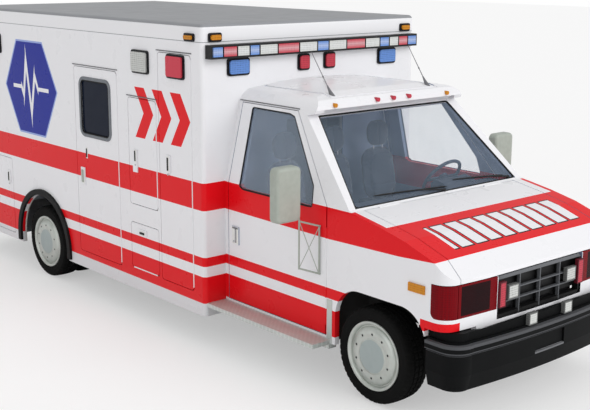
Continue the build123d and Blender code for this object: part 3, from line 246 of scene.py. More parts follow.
def boxPaint():
    shade = Shade("box paint")
    x, y, z = shade.place()
    behind = y - frontAxle
    onSide = abs(x) > 1.190
    outside = onSide.atLeast(behind < 1.745).atLeast(behind > 6.020)
    red = 0.0
    for low, high in livery["bands"]:
        red = z.between(low, high) + red
    start, middle, reach = livery["chevrons"]
    off = abs(z - middle)
    for place in range(3):
        red = (behind - off * 0.62).between(start + place * 0.27, start + place * 0.27 + 0.15) * (off < reach) * onSide + red
    red = red.atMost(1.0) * outside * (abs(x) < 1.2196)
    colour = shade.mix(red, livery["white"], livery["red"])
    colour = shade.mix((z < livery["bands"][2][0]) * outside, colour, livery["silver"])
    colour = shade.mix((z > 2.534) * outside, colour, livery["groove"])
    centre, height, size = livery["emblem"]
    along = behind - centre
    rise = z - height
    hexagon = abs(rise).atLeast(abs(rise) * 0.5 + abs(along) * 0.866)
    colour = shade.mix((hexagon < size) * onSide, colour, livery["paleBlue"])
    colour = shade.mix((hexagon < size - 0.018) * onSide, colour, livery["blue"])
    line = 0.0
    for (a0, z0), (a1, z1) in zip(pulse, pulse[1:]):
        slope = (z1 - z0) / (a1 - a0)
        half = 0.019 * math.sqrt(1 + slope * slope)
        line = (abs(rise - z0 - (along - a0) * slope) < half) * along.between(a0 - 0.006, a1 + 0.006) + line
    colour = shade.mix(line.atMost(1.0) * onSide, colour, livery["white"])
    colour = shade.mix(shade.inward((0.0, 1.17, 1.4)) * (1 - outside), colour, livery["lining"])
    lean = (z - 1.38).atLeast(0.0) * 0.2423
    bulkhead = (behind < 1.745) * (abs(x) + lean < 0.945) * z.between(0.70, 2.12)
    colour = shade.mix(bulkhead, colour, livery["slate"])
    proud = (abs(x) > 1.2196) * z.between(2.2, 2.5) * behind.between(1.9, 2.3)
    colour = shade.mix(proud, colour, lampColours["frame"])
    colour = shade.mix(proud * (abs(x) > 1.2340), colour, lampColours["red"])
    return paintDetail(shade, colour, z)


def cabPaint():
    shade = Shade("cab paint")
    x, y, z = shade.place()
    behind = y - frontAxle
    # lower edge of the wide band, bent along the door and the fender
    edge = 1.156 + (behind - 0.468).atLeast(0.0) * 0.0087 + (0.468 - behind).atLeast(0.0) * 0.025 \
        + (-0.252 - behind).atLeast(0.0) * 0.0396
    across = abs(x)
    onHood = (behind < -0.085).atLeast(across > 0.958)
    red = (z > edge) * (z < 1.396) * (behind > -0.640) * onHood
    thin = z.between(0.697, 0.779)
    thin = thin * ((behind > -0.3) + (behind < -0.465) * (behind > -0.768)).atMost(1.0) * (across > 0.86)
    wide = z.between(0.405, 0.610) * (behind > 0.0) * (across > 0.86)
    red = (red + thin + wide).atMost(1.0)
    colour = shade.mix(red, livery["white"], livery["red"])
    # row of slanted bars on the hood
    row = x + behind * 0.06 + 0.665
    inRow = behind.between(-0.505, -0.185) * (z > 1.1) * (x > -0.70) * (x < 0.765)
    part = shade.sum("FRACT", row / 0.159)
    border = part.between(0.06, 0.94) * inRow
    bar = part.between(0.13, 0.87) * inRow * behind.between(-0.493, -0.197)
    colour = shade.mix(border, colour, livery["dark"])
    colour = shade.mix(bar, colour, livery["white"])
    lining = shade.mix(z.between(1.14, 1.40) * (across > 0.90), livery["slate"], livery["innerRed"])
    lining = shade.mix((z < 0.98) * (behind < 0.5), lining, livery["dark"])
    header = (behind < 0.92) * (z > 1.985)
    colour = shade.mix(shade.inward((0.0, -1.65, 1.25)) * (1 - header), colour, lining)
    return paintDetail(shade, colour, z)


def roofPaint():
    shade = Shade("roof paint")
    x, y, z = shade.place()
    top = (z > 2.655)
    colour = shade.mix(top, livery["white"], rgb(150, 152, 156))
    mottled = shade.mix(shade.noise(2.0, 6.0) * 0.5 * top, colour, rgb(118, 120, 124))
    return shade.finish(Base_Color=mottled, Roughness=shade.noise(6.0) * 0.2 + 0.35,
                        Normal=shade.bump(shade.noise(180.0), 0.06, 0.001))


def grained(name, dark, light, roughness, scale, strength=0.15, metallic=0.0, depth=0.001, stretch=None,
            shine=0.5):
    shade = Shade(name)
    shade.place()
    grain = shade.noise(scale, 4.0, stretch)
    colour = shade.mix(shade.noise(scale / 12, 4.0), dark, light)
    return shade.finish(Base_Color=colour, Metallic=metallic, Roughness=grain * 0.18 + roughness,
                        Specular_IOR_Level=shine, Normal=shade.bump(grain, strength, depth))


def clothFinish(name, dark, light):
    # woven seat cloth: two crossing threads, a soft sheen and uneven fading
    shade = Shade(name)
    x, y, z = shade.place()
    weave = ((x + z) * 1900.0).wave() * ((x - z + y) * 1900.0).wave()
    faded = shade.mix(shade.noise(14.0, 4.0), dark, light)
    colour = shade.mix(abs(weave) * 0.25, faded, light)
    return shade.finish(Base_Color=colour, Roughness=0.78 + abs(weave) * 0.15, Sheen_Weight=0.4,
                        Specular_IOR_Level=0.3, Normal=shade.bump(weave, 0.3, 0.0008))


def treadPlate():
    # bright plate with raised diamonds
    shade = Shade("tread plate")
    x, y, z = shade.place()
    step = 0.045
    first = ((x + y) * (math.pi / step)).wave()
    second = ((x - y) * (math.pi / step)).wave()
    lug = abs(first * second)
    raised = (lug > 0.72)
    worn = shade.mix(shade.noise(4.0, 5.0), rgb(186, 192, 188), rgb(206, 211, 207))
    colour = shade.mix(raised * 0.35, worn, rgb(226, 229, 227))
    return shade.finish(Base_Color=colour, Metallic=0.3, Roughness=shade.noise(60.0) * 0.2 + 0.35,
                        Normal=shade.bump(raised, 0.4, 0.0015))


def glassFinish(name, colour, alpha, roughness=0.05, haze=0.2, shine=0.25):
    shade = Shade(name)
    shade.place()
    smear = shade.noise(7.0, 3.0)
    return shade.finish(Base_Color=shade.mix(smear * haze, colour, rgb(235, 240, 245)), Alpha=smear * 0.05 + alpha,
                        Roughness=smear * 0.04 + roughness, Specular_IOR_Level=shine)


def lensFinish(name, colourOf, shine=0.18):
    # ribbed lamp plastic; colourOf gives the colour from the place
    shade = Shade(name)
    x, y, z = shade.place()
    ribs = ((x + y) * 620.0).wave() * (z * 620.0).wave()
    colour = colourOf(shade, x, y - frontAxle, z)
    facets = abs((x * 190.0).wave() * (z * 190.0).wave() * (y * 190.0).wave().atLeast(0.6)) * shade.noise(60.0, 2.0)
    shaded = shade.mix((facets * 0.9).atMost(0.6), colour, lampColours["frame"])
    return shade.finish(Base_Color=shaded, Roughness=0.2 + abs(ribs) * 0.12, Specular_IOR_Level=shine,
                        Normal=shade.bump(ribs, 0.35, 0.001))


barColours = "brwbwrwbwrwbwrb"
barEdges = (-1.168, -1.065, -0.924, -0.796, -0.692, -0.500, -0.264, -0.060, 0.072, 0.282, 0.510, 0.692, 0.812,
            0.932, 1.052, 1.168)


def barLensColour(shade, x, behind, z):
    colour = lampColours["white"]
    for key, name in (("r", "red"), ("b", "blue")):
        here = 0.0
        for letter, low, high in zip(barColours, barEdges, barEdges[1:]):
            if letter == key:
                here = x.between(low, high) + here
        colour = shade.mix(here, colour, lampColours[name])
    # painted highlight: each lens is mixed towards the glare colour, most at the middle of its height
    low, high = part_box("bar_lenses")
    middle, half = (low[2] + high[2]) / 2, (high[2] - low[2]) / 2
    bright = (1 - abs(z - middle) / half).atLeast(0.0) * 0.4
    colour = shade.mix(bright, colour, lampColours["glare"])
    gap = 0.0
    for edge in barEdges[1:-1]:
        gap = (abs(x - edge) < 0.0065) + gap
    return shade.mix(gap, colour, lampColours["frame"])


def lampColour(shade, x, behind, z):
    across = abs(x)
    colour = lampColours["white"]
    amber = (z > 2.50) * (behind < 5.0) + behind.between(-0.52, -0.33) * (z < 1.1) + (across > 0.6) * z.between(2.06, 2.12)
    red = (across < 0.25) * (behind > 1.5) + (across < 0.25) * (z > 2.05) * (behind < 1.0) \
        + (z > 2.50) * (behind > 5.0) + behind.between(5.6, 5.9) + (behind > 6.0) * (z < 1.0) * (z > 0.65) \
        + across.between(0.42, 0.50) * (behind < -0.7)
    blue = (behind < 1.8) * (z > 2.2) * across.between(0.7, 1.0)
    colour = shade.mix(amber.atMost(1.0), colour, lampColours["amber"])
    colour = shade.mix(red.atMost(1.0), colour, lampColours["red"])
    colour = shade.mix(blue, colour, lampColours["blue"])
    frontRing = (behind > 1.717) * (behind < 1.75) * (z > 2.2)
    sideRing = (across < 1.2345) * (behind > 1.76) * (behind < 6.02)
    rearRing = (behind < 6.0505) * (behind > 6.02)
    face = 0.0
    for near, far, low, high in ((0.162, 0.254, 0.655, 0.743), (0.285, 0.397, 0.856, 0.960), (0.426, 0.494, 0.813, 0.999)):
        face = across.between(near + 0.009, far - 0.009) * z.between(low + 0.009, high - 0.009) + face
    noseRing = (behind < -0.7) * (1 - face) * 0.75
    dark = (frontRing + sideRing + rearRing + noseRing).atMost(1.0)
    return shade.mix(dark, colour, lampColours["frame"])


def headlampColour(shade, x, behind, z):
    across = abs(x)
    dark = shade.mix(shade.noise(9.0, 3.0), lampColours["brown"], lampColours["darkest"])
    middle = across.between(0.575, 0.855) * z.between(0.822, 1.030)
    return shade.mix(middle, lampColours["deep"], dark)


def grillePaint():
    # black frame with a grey top strip and thin grey bars
    shade = Shade("grille")
    x, y, z = shade.place()
    across = abs(x)
    bars = (abs(across - 0.236) < 0.0055) + (across < 0.0055)
    for height in (0.838, 0.920):
        bars = (abs(z - height) < 0.0055) + bars
    bright = bars.atMost(1.0) * (y - frontAxle < -0.69)
    grain = shade.noise(300.0)
    colour = shade.mix(grain, rgb(14, 14, 15), rgb(24, 24, 25))
    colour = shade.mix(bright, colour, rgb(96, 98, 102))
    colour = shade.mix(z > 1.012, colour, rgb(104, 106, 110))
    return shade.finish(Base_Color=colour, Roughness=grain * 0.15 + 0.42, Specular_IOR_Level=0.3,
                        Normal=shade.bump(grain, 0.1, 0.001))


def bumperPaint():
    # black moulding with two grey ledges and a pale lip under the plate recess; the ledges' grey is a painted
    # highlight
    shade = Shade("bumper moulding")
    x, y, z = shade.place()
    grain = shade.noise(340.0)
    colour = shade.mix(shade.noise(6.0, 4.0), rgb(9, 10, 11), rgb(18, 19, 20))
    # painted highlight: the two ledge bands are lighter grey, as if catching light
    ledgeHighlights = z.between(0.618, 0.6405) + z.between(0.563, 0.588)
    colour = shade.mix(ledgeHighlights, colour, rgb(84, 85, 88))
    lip = (abs(x) < 0.172) * z.between(0.424, 0.441)
    colour = shade.mix(lip, colour, rgb(112, 113, 116))
    return shade.finish(Base_Color=colour, Roughness=grain * 0.2 + 0.45, Specular_IOR_Level=0.08,
                        Normal=shade.bump(grain, 0.2, 0.001))


finishes = {
    "box": boxPaint(), "cab": cabPaint(), "roof": roofPaint(),
    "grille": grillePaint(), "bumper": bumperPaint(),
    "blackPlastic": grained("black plastic", rgb(14, 14, 16), rgb(26, 26, 28), 0.42, 420.0, shine=0.35),
    "greyPlastic": grained("grey plastic", rgb(92, 92, 96), rgb(122, 122, 126), 0.45, 420.0),
    "chassis": grained("chassis paint", rgb(24, 24, 25), rgb(48, 46, 44), 0.5, 90.0),
    "cast": grained("rough cast", rgb(70, 70, 72), rgb(104, 102, 98), 0.6, 160.0, 0.4, 0.4),
    "aluminium": grained("satin aluminium", rgb(168, 170, 172), rgb(206, 208, 210), 0.32, 300.0, 0.05, 0.8),
    "chrome": grained("polished trim", rgb(196, 198, 200), rgb(226, 228, 230), 0.1, 120.0, 0.02, 1.0),
    "tread": treadPlate(),
    "rubber": grained("black rubber", rgb(12, 12, 13), rgb(24, 24, 25), 0.62, 260.0, 0.25, shine=0.3),
    "tyre": grained("tyre rubber", rgb(8, 8, 9), rgb(18, 18, 17), 0.72, 220.0, 0.3, shine=0.12),
    "wheel": grained("silver wheel paint", rgb(176, 182, 176), rgb(208, 212, 207), 0.24, 200.0, 0.04, 0.75),
    # the cap's grey, darker than the wheel cover, is painted shade for the cover's concave middle
    "wheelCap": grained("wheel cap painted dish shade", rgb(158, 170, 170), rgb(172, 182, 181), 0.4, 200.0, 0.04, 0.2),
    "glass": glassFinish("windshield glass", rgb(186, 210, 236), 0.05),
    # near and far door panes are one glass in two copies: the near pane's stronger grey-blue veil is a painted
    # reflection over the glass's own tint; the far pane is the paler, clearer copy
    "doorGlass": glassFinish("near door glass", rgb(166, 184, 204), 0.24),
    "farGlass": glassFinish("far door glass", rgb(196, 226, 246), 0.12),
    "mirrorGlass": grained("mirror glass", rgb(196, 202, 208), rgb(206, 212, 218), 0.04, 40.0, 0.01, 1.0),
    "windowFrame": grained("window frame", rgb(104, 108, 114), rgb(130, 134, 140), 0.38, 260.0, 0.05, 0.4),
    "plate": grained("blank plate", rgb(226, 227, 224), rgb(238, 239, 236), 0.35, 300.0, 0.05),
    "darkGlass": glassFinish("dark glass", rgb(16, 24, 42), 0.96, 0.1, 0.01, 0.06),
    "barLens": lensFinish("bar lens", barLensColour),
    "lampLens": lensFinish("lamp lens", lampColour),
    "headlamp": lensFinish("headlamp lens", headlampColour, 0.07),
    "cloth": clothFinish("slate seat cloth", rgb(44, 50, 64), rgb(66, 73, 88)),
    "dash": grained("dash moulding", rgb(44, 50, 64), rgb(62, 69, 84), 0.6, 380.0, 0.3, shine=0.25),
    "mirrorShell": grained("mirror shell", rgb(150, 157, 148), rgb(176, 182, 173), 0.35, 260.0, 0.05),
    "cabinet": grained("pale laminate", rgb(206, 204, 198), rgb(224, 222, 216), 0.4, 200.0),
    "floorMat": grained("floor mat", rgb(26, 27, 29), rgb(44, 45, 48), 0.7, 240.0, 0.4, shine=0.2),
    "floorCover": grained("floor covering", rgb(86, 90, 96), rgb(110, 114, 120), 0.6, 300.0, 0.3),
}
print("finishes made")

wear = {
    "box": ("box_wall_right", "box_wall_left", "box_front_wall", "box_rear_wall", "entry_door", "locker_front",
            "locker_front_left", "locker_upper", "locker_lower", "locker_rear", "locker_rear_left",
            "rear_door_right", "rear_door_left"),
    "cab": ("front_clip", "hood", "cab_body", "cab_roof", "cab_door_right", "cab_door_left"),
    "roof": ("box_roof",),
    "blackPlastic": ("light_bar", "cab_trim"), "grille": ("grille",), "bumper": ("front_bumper",),
    "chassis": ("frame_rails", "front_axle", "rear_axle", "underbody"),
    "cast": ("engine", "knuckle_right", "knuckle_left"),
    "aluminium": ("locker_liners",),
    "tread": ("steps",),
    "rubber": ("arch_flares",),
    "tyre": ("front_tyre_right", "front_tyre_left", "rear_tyres_right", "rear_tyres_left"),
    "wheel": ("front_rim_right", "front_rim_left", "rear_rims_right", "rear_rims_left"),
    "glass": ("windshield",), "doorGlass": ("cab_glass_right",), "farGlass": ("cab_glass_left",),
    "darkGlass": ("entry_glass", "rear_glass_right", "rear_glass_left"),
    "barLens": ("bar_lenses",), "lampLens": ("lamps",), "headlamp": ("headlamps",),
    "cloth": ("cab_seats",), "dash": ("dashboard", "steering_wheel"),
    "mirrorShell": ("mirror_right", "mirror_left"),
    "cabinet": ("cabinets",), "floorCover": ("box_floor",), "floorMat": ("cab_floor",),
}
for finish, names in wear.items():
    for name in names:
        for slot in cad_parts[name].material_slots:
            slot.material = finishes[finish]
print("carried-over pieces dressed")


class Piece:
    # one visible piece made of several forms, each with its finish
    def __init__(self, name):
        self.name = name
        self.mesh = bmesh.new()
        self.finishes = []

    def finishIndex(self, finish):
        if finish not in self.finishes:
            self.finishes.append(finish)
        return self.finishes.index(finish)

    def faces(self, rows, finish, closeRow=True, closeRing=True):
        # skin over rows of points
        index = self.finishIndex(finish)
        made = [[self.mesh.verts.new(point) for point in row] for row in rows]
        count = len(rows[0])
        for at in range(len(rows) if closeRing else len(rows) - 1):
            first, second = made[at], made[(at + 1) % len(rows)]
            for step in range(count if closeRow else count - 1):
                ahead = (step + 1) % count
                corners = [first[step], first[ahead], second[ahead], second[step]]
                if len({corner.co.to_tuple(6) for corner in corners}) > 2:
                    self.mesh.faces.new(corners).material_index = index
        return made

    def lathe(self, profile, centre, outward, finish, segments=96, closed=True, shape=None):
        # ring about the X axis: profile points are (distance outward, radius)
        rows = []
        for step in range(segments):
            angle = 2 * math.pi * step / segments
            row = []
            for at, (out, radius) in enumerate(profile):
                if shape:
                    radius = shape(at, out, radius, step)
                row.append((centre[0] + outward * out, centre[1] + radius * math.cos(angle),
                            centre[2] + radius * math.sin(angle)))
            rows.append(row)
        self.faces(rows, finish, closeRow=closed)

    def block(self, low, high, finish, bevel=0.003, segments=2, turn=None):
        # rounded block between two corners
        index = self.finishIndex(finish)
        low, high = Vector(low), Vector(high)
        middle = (low + high) / 2
        corners = []
        for across in (0, 1):
            for along in (0, 1):
                for rise in (0, 1):
                    point = Vector((high.x if across else low.x, high.y if along else low.y,
                                    high.z if rise else low.z))
                    if turn:
                        point = middle + turn @ (point - middle)
                    corners.append(self.mesh.verts.new(point))
        made = []
        for ring in ((0, 1, 3, 2), (4, 6, 7, 5), (0, 4, 5, 1), (2, 3, 7, 6), (0, 2, 6, 4), (1, 5, 7, 3)):
            face = self.mesh.faces.new([corners[at] for at in ring])
            face.material_index = index
            made.append(face)
        if bevel:
            edges = {edge for face in made for edge in face.edges}
            limit = min(high - low) * 0.45
            bmesh.ops.bevel(self.mesh, geom=list(edges), offset=min(bevel, limit), segments=segments, profile=0.5,
                            affect="EDGES", material=-1)

    def tube(self, points, radius, finish, sides=12):
        # round rod through points, capped
        points = [Vector(point) for point in points]
        rows = []
        for at, point in enumerate(points):
            before = points[max(at - 1, 0)]
            after = points[min(at + 1, len(points) - 1)]
            run = (after - before).normalized()
            side = run.orthogonal().normalized() if at == 0 else (side - run * side.dot(run)).normalized()
            over = run.cross(side)
            size = radius[at] if isinstance(radius, (list, tuple)) else radius
            rows.append([point + (side * math.cos(turn) + over * math.sin(turn)) * size
                         for turn in (2 * math.pi * step / sides for step in range(sides))])
        made = self.faces(rows, finish, closeRing=False)
        index = self.finishIndex(finish)
        for ring in (made[0], made[-1]):
            self.mesh.faces.new(ring).material_index = index

    def frame(self, points, normal, section, finish):
        # closed band round a flat path; the section is (outward, proud) pairs
        normal = Vector(normal).normalized()
        rows = []
        for at, point in enumerate(points):
            run = (points[(at + 1) % len(points)] - points[at - 1]).normalized()
            outward = run.cross(normal)
            rows.append([point + outward * across + normal * proud for across, proud in section])
        self.faces(rows, finish)

    def disc(self, centre, normal, radius, finish, sides=28):
        normal = Vector(normal).normalized()
        side = normal.orthogonal().normalized()
        over = normal.cross(side)
        ring = [self.mesh.verts.new(Vector(centre) + (side * math.cos(turn) + over * math.sin(turn)) * radius)
                for turn in (2 * math.pi * step / sides for step in range(sides))]
        self.mesh.faces.new(ring).material_index = self.finishIndex(finish)

    def done(self, body, replaced=(), angle=35):
        bmesh.ops.remove_doubles(self.mesh, verts=self.mesh.verts, dist=0.000001)
        bmesh.ops.recalc_face_normals(self.mesh, faces=self.mesh.faces)
        data = bpy.data.meshes.new(self.name)
        self.mesh.to_mesh(data)
        self.mesh.free()
        for finish in self.finishes:
            data.materials.append(finishes[finish])
        data.shade_smooth()
        data.set_sharp_from_angle(angle=math.radians(angle))
        made = bpy.data.objects.new(self.name, data)
        bpy.context.collection.objects.link(made)
        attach(made, body)
        if replaced:
            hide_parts(*replaced)
        return made


# wheels
wheel = {"segments": 192, "frontX": 0.878, "twinX": 1.089, "twinSpacing": 0.275, "sipe": 0.006, "holes": 10,
         "holeCircle": 0.168}
tyreHalf = [
    (0.0975, 0.2555), (0.1060, 0.2640), (0.1085, 0.2700), (0.1070, 0.2760), (0.1105, 0.2900), (0.1115, 0.3030),
    (0.1110, 0.3180), (0.1090, 0.3320), (0.1095, 0.3360), (0.1050, 0.3470), (0.0960, 0.3560), (0.0850, 0.3605),
    (0.0500, 0.3635), (0.0480, 0.3545), (0.0380, 0.3545), (0.0360, 0.3640), (0.0070, 0.3650), (0.0055, 0.3555),
]
tyreProfile = tyreHalf + [(-out, radius) for out, radius in reversed(tyreHalf)]
coverProfile = [
    (0.116, 0.0), (0.116, 0.128), (0.1125, 0.134), (0.1120, 0.142), (0.1150, 0.160), (0.1140, 0.186),
    (0.1080, 0.206), (0.0960, 0.219), (0.0880, 0.2235), (0.0880, 0.2290), (0.0970, 0.2330), (0.1060, 0.2400),
    (0.1110, 0.2500), (0.1100, 0.2590), (0.1030, 0.2625), (0.0960, 0.2560), (-0.0960, 0.2550), (-0.0960, 0.2360),
    (0.0500, 0.2200), (0.0780, 0.1500), (0.0780, 0.0),
]
twinProfile = [
    (0.070, 0.0), (0.070, 0.060), (0.064, 0.070), (0.050, 0.086), (0.044, 0.100), (0.030, 0.120), (0.026, 0.150),
    (0.034, 0.186), (0.048, 0.205), (0.066, 0.2165), (0.082, 0.2235), (0.082, 0.2290), (0.097, 0.2330),
    (0.1060, 0.2400), (0.1110, 0.2500), (0.1100, 0.2590), (0.1030, 0.2625), (0.0960, 0.2560), (-0.0960, 0.2550),
    (-0.0960, 0.2360), (0.020, 0.2200), (0.000, 0.1500), (0.000, 0.0),
]


def treadRadius(at, out, radius, step):
    # cross grooves between the tread blocks, staggered from rib to rib
    if radius < 0.3575 and abs(out) < 0.06 or radius < 0.346:
        return radius
    shift = 0 if abs(out) > 0.07 else 2 if abs(out) > 0.045 else 1
    return radius - wheel["sipe"] if (step + shift) % 4 == 0 else radius


def addTyre(name, body, centres, outward, replaced):
    piece = Piece(name)
    for centre in centres:
        piece.lathe(tyreProfile, centre, outward, "tyre", wheel["segments"], shape=treadRadius)
    return piece.done(body, replaced, 28)


def addWheelFace(piece, centre, outward, profile, face, circle):
    piece.lathe(profile, centre, outward, "wheel", 96, closed=False)
    for step in range(wheel["holes"]):
        angle = 2 * math.pi * (step + 0.5) / wheel["holes"]
        spot = (centre[0], centre[1] + circle * math.cos(angle), centre[2] + circle * math.sin(angle))
        piece.lathe([(face - 0.006, 0.0), (face + 0.0004, 0.0085), (face + 0.0016, 0.0105), (face, 0.0135),
                     (face - 0.004, 0.0145)], spot, outward, "wheel", 20, closed=False)
        # painted shade: a black disc in each hand hole stands in for the dark inside of the hole
        piece.lathe([(face + 0.0007, 0.0), (face + 0.0007, 0.0088)], spot, outward, "blackPlastic", 20, closed=False)


for side, sign in sides:
    front = (sign * wheel["frontX"], frontAxle, axleHeight)
    addTyre("tyre_front_" + side, "front_wheel_" + side, [front], sign, ("front_tyre_" + side,))
    piece = Piece("wheel_front_" + side)
    addWheelFace(piece, front, sign, coverProfile, 0.1150, wheel["holeCircle"])
    piece.lathe([(0.1162, 0.0), (0.1168, 0.100), (0.1162, 0.124)], front, sign, "wheelCap", 64, closed=False)
    piece.done("front_wheel_" + side, ("front_rim_" + side,))
    outer = (sign * wheel["twinX"], rearAxle, axleHeight)
    inner = (sign * (wheel["twinX"] - wheel["twinSpacing"]), rearAxle, axleHeight)
    addTyre("tyres_rear_" + side, "rear_wheels_" + side, [outer, inner], sign, ("rear_tyres_" + side,))
    piece = Piece("wheels_rear_" + side)
    addWheelFace(piece, outer, sign, coverProfile, 0.1150, wheel["holeCircle"])
    piece.lathe([(0.1162, 0.0), (0.1168, 0.100), (0.1162, 0.124)], outer, sign, "wheelCap", 64, closed=False)
    piece.lathe(twinProfile, inner, -sign, "wheel", 96, closed=False)
    piece.done("rear_wheels_" + side, ("rear_rims_" + side,))
print("wheels made")

# outlines
def at(x, behind, z):
    return Vector((x, frontAxle + behind, z))


def rounded(points, radius, steps=6):
    # flat outline with rounded corners
    points = [Vector(point) for point in points]
    path = []
    for here, corner in enumerate(points):
        before = (points[here - 1] - corner).normalized()
        after = (points[(here + 1) % len(points)] - corner).normalized()
        half = before.angle(after) / 2
        reach = radius / math.tan(half)
        middle = corner + (before + after).normalized() * radius / math.sin(half)
        start, end = corner + before * reach - middle, corner + after * reach - middle
        for step in range(steps + 1):
            path.append(middle + start.slerp(end, step / steps).normalized() * radius)
    return path


def panel(plane, low, high, corner, steps=6):
    # rounded rectangle; plane turns (across, up) into a point
    outline = [(low[0], low[1]), (high[0], low[1]), (high[0], high[1]), (low[0], high[1])]
    flat = rounded([(a, b, 0.0) for a, b in outline], corner, steps)
    return [plane(point.x, point.y) for point in flat]


def bead(half, proud, count=10):
    return [(half * math.cos(turn), proud * math.sin(turn)) for turn in
            (2 * math.pi * step / count for step in range(count))]


def flatBand(inner, outer, proud, edge=0.002):
    # flat frame section from the inner to the outer edge with eased corners
    return [(inner, 0.0), (inner, proud - edge), (inner + edge, proud), (outer - edge, proud),
            (outer, proud - edge), (outer, 0.0)]


boxSide = 1.219
rearFace = frontAxle + 6.035
skins = {
    # a plane on each outside face
    "right": (lambda a, b: at(-boxSide, a, b), (-1, 0, 0)),
    "left": (lambda a, b: at(boxSide, a, b), (1, 0, 0)),
    "rear": (lambda a, b: Vector((a, rearFace, b)), (0, 1, 0)),
}


# dark screen behind the lower edge of the grille
piece = Piece("grille_screen")
piece.block(at(-0.485, -0.645, 0.735), at(0.485, -0.636, 0.905), "blackPlastic", 0.002)
piece.done("body")

# dark liners inside the front wheel arches: a wall beside the wheel, turning into one behind it
liner = {"inner": 0.557, "outer": 0.952, "front": -0.420, "rear": 0.428, "corner": 0.060, "top": 0.842, "low": 0.540,
         "foot": 0.360, "sheet": 0.003}
for side, sign in sides:
    bend = [(liner["inner"], liner["front"], 1, 0)]
    for step in range(9):
        turn = math.pi / 2 * step / 8
        bend.append((liner["inner"] + liner["corner"] * (1 - math.cos(turn)),
                     liner["rear"] - liner["corner"] * (1 - math.sin(turn)), math.cos(turn), math.sin(turn)))
    bend.append((liner["outer"], liner["rear"], 0, 1))
    rows = []
    for x, behind, across, back in bend:
        low = liner["low"] if back < 0.5 else liner["foot"]
        farX, farBehind = x - across * liner["sheet"], behind + back * liner["sheet"]
        rows.append([at(sign * x, behind, low), at(sign * x, behind, liner["top"]),
                     at(sign * farX, farBehind, liner["top"]), at(sign * farX, farBehind, low)])
    piece = Piece("wheel_liner_" + side)
    made = piece.faces(rows, "chassis", closeRing=False)
    for ring in (made[0], made[-1]):
        piece.mesh.faces.new(ring).material_index = piece.finishIndex("chassis")
    piece.done("body")


# windows of the load box: a wide grey frame with a dark seal
def addWindow(name, skin, low, high, body):
    plane, normal = skins[skin]
    points = panel(plane, low, high, 0.052)
    piece = Piece(name)
    turn = 1 if (points[1] - points[0]).cross(Vector(normal)).dot(points[0] - sum(points, Vector()) / len(points)) > 0 else -1
    band = [(turn * across, proud) for across, proud in flatBand(0.0, 0.030, 0.008)]
    piece.frame(points, normal, band, "windowFrame")
    piece.frame(points, normal, [(turn * (across - 0.006), proud + 0.001) for across, proud in bead(0.006, 0.005)], "rubber")
    piece.done(body)


addWindow("entry_window_frame", "right", (3.150, 1.590), (3.640, 2.090), "entry_door")
for side, sign in sides:
    low, high = sorted((sign * 0.100, sign * 0.525))
    addWindow("rear_window_frame_" + side, "rear", (low, 1.560), (high, 2.040), "rear_door_" + side)

# windows of the cab: a thin dark seal on the glass line
doorWindow = [(0.653, 1.366), (0.678, 1.521), (1.030, 1.994), (1.090, 2.011), (1.553, 2.013), (1.543, 1.387),
              (1.505, 1.366)]
tumble = 0.165 / 0.681


def cabSkin(sign, behind, z, proud=0.0):
    # outside of the cab's side: upright to the waist, leaning in above it
    return at(sign * (1.0 - max(z - 1.380, 0.0) * tumble + proud), behind, z)


for side, sign in sides:
    outline = rounded([(a, b, 0.0) for a, b in doorWindow], 0.018, 4)
    points = [cabSkin(sign, point.x, point.y, -0.004) for point in outline]
    piece = Piece("door_window_seal_" + side)
    piece.frame(points, (sign, 0, tumble), bead(0.0065, 0.006), "rubber")
    sill = [cabSkin(sign, 0.700 + 0.016 * step, 1.3635, -0.001) for step in range(50)]
    piece.tube(sill, 0.005, "rubber", 8)
    piece.done("cab_door_" + side)

glassFoot, glassHead = Vector((0.254, 1.403)), Vector((0.892, 2.020))
glassRise = (glassHead - glassFoot).normalized()


def onGlass(x, along, proud):
    # point on the windshield: across, up the glass from its foot, and out of it
    spot = glassFoot + glassRise * along + Vector((-glassRise.y, glassRise.x)) * proud
    return at(x, spot.x, spot.y)


piece = Piece("windshield_seal")
outline = rounded([(-0.925, 0.013, 0.0), (0.925, 0.013, 0.0), (0.738, 0.869, 0.0), (-0.738, 0.869, 0.0)], 0.030, 6)
piece.frame([onGlass(point.x, point.y, -0.006) for point in outline], onGlass(0, 0, 1) - onGlass(0, 0, 0),
            bead(0.009, 0.0065), "rubber")
piece.done("body")

# wipers, parked towards the right-hand side
wipers = {
    # pivot, the arm's end and the two ends of the blade, each across and up the glass
    "wiper_right": ((0.045, 0.020), (-0.255, 0.068), (-0.684, 0.090), (0.100, 0.051)),
    "wiper_left": ((0.842, 0.026), (0.560, 0.072), (0.213, 0.100), (0.800, 0.055)),
}
for name, (pivot, arm, tip, heel) in wipers.items():
    piece = Piece(name)
    piece.tube([onGlass(*tip, -0.0045), onGlass(*heel, -0.0045)], 0.0032, "rubber", 8)
    blade = []
    for step in range(13):
        share = step / 12
        bow = 0.004 * math.sin(math.pi * share)
        blade.append(onGlass(tip[0] + (heel[0] - tip[0]) * share, tip[1] + (heel[1] - tip[1]) * share, bow))
    piece.tube(blade, [0.003] + [0.0055] * 11 + [0.003], "blackPlastic", 8)
    piece.tube([onGlass(*pivot, -0.004), onGlass(*pivot, 0.010)], 0.015, "blackPlastic", 20)
    bend = (pivot[0] + (arm[0] - pivot[0]) * 0.3, pivot[1] + (arm[1] - pivot[1]) * 0.3)
    piece.tube([onGlass(*pivot, 0.008), onGlass(*bend, 0.011), onGlass(*arm, 0.006)], [0.009, 0.0065, 0.0045],
               "blackPlastic", 10)
    piece.done("body", ("cab_trim",))

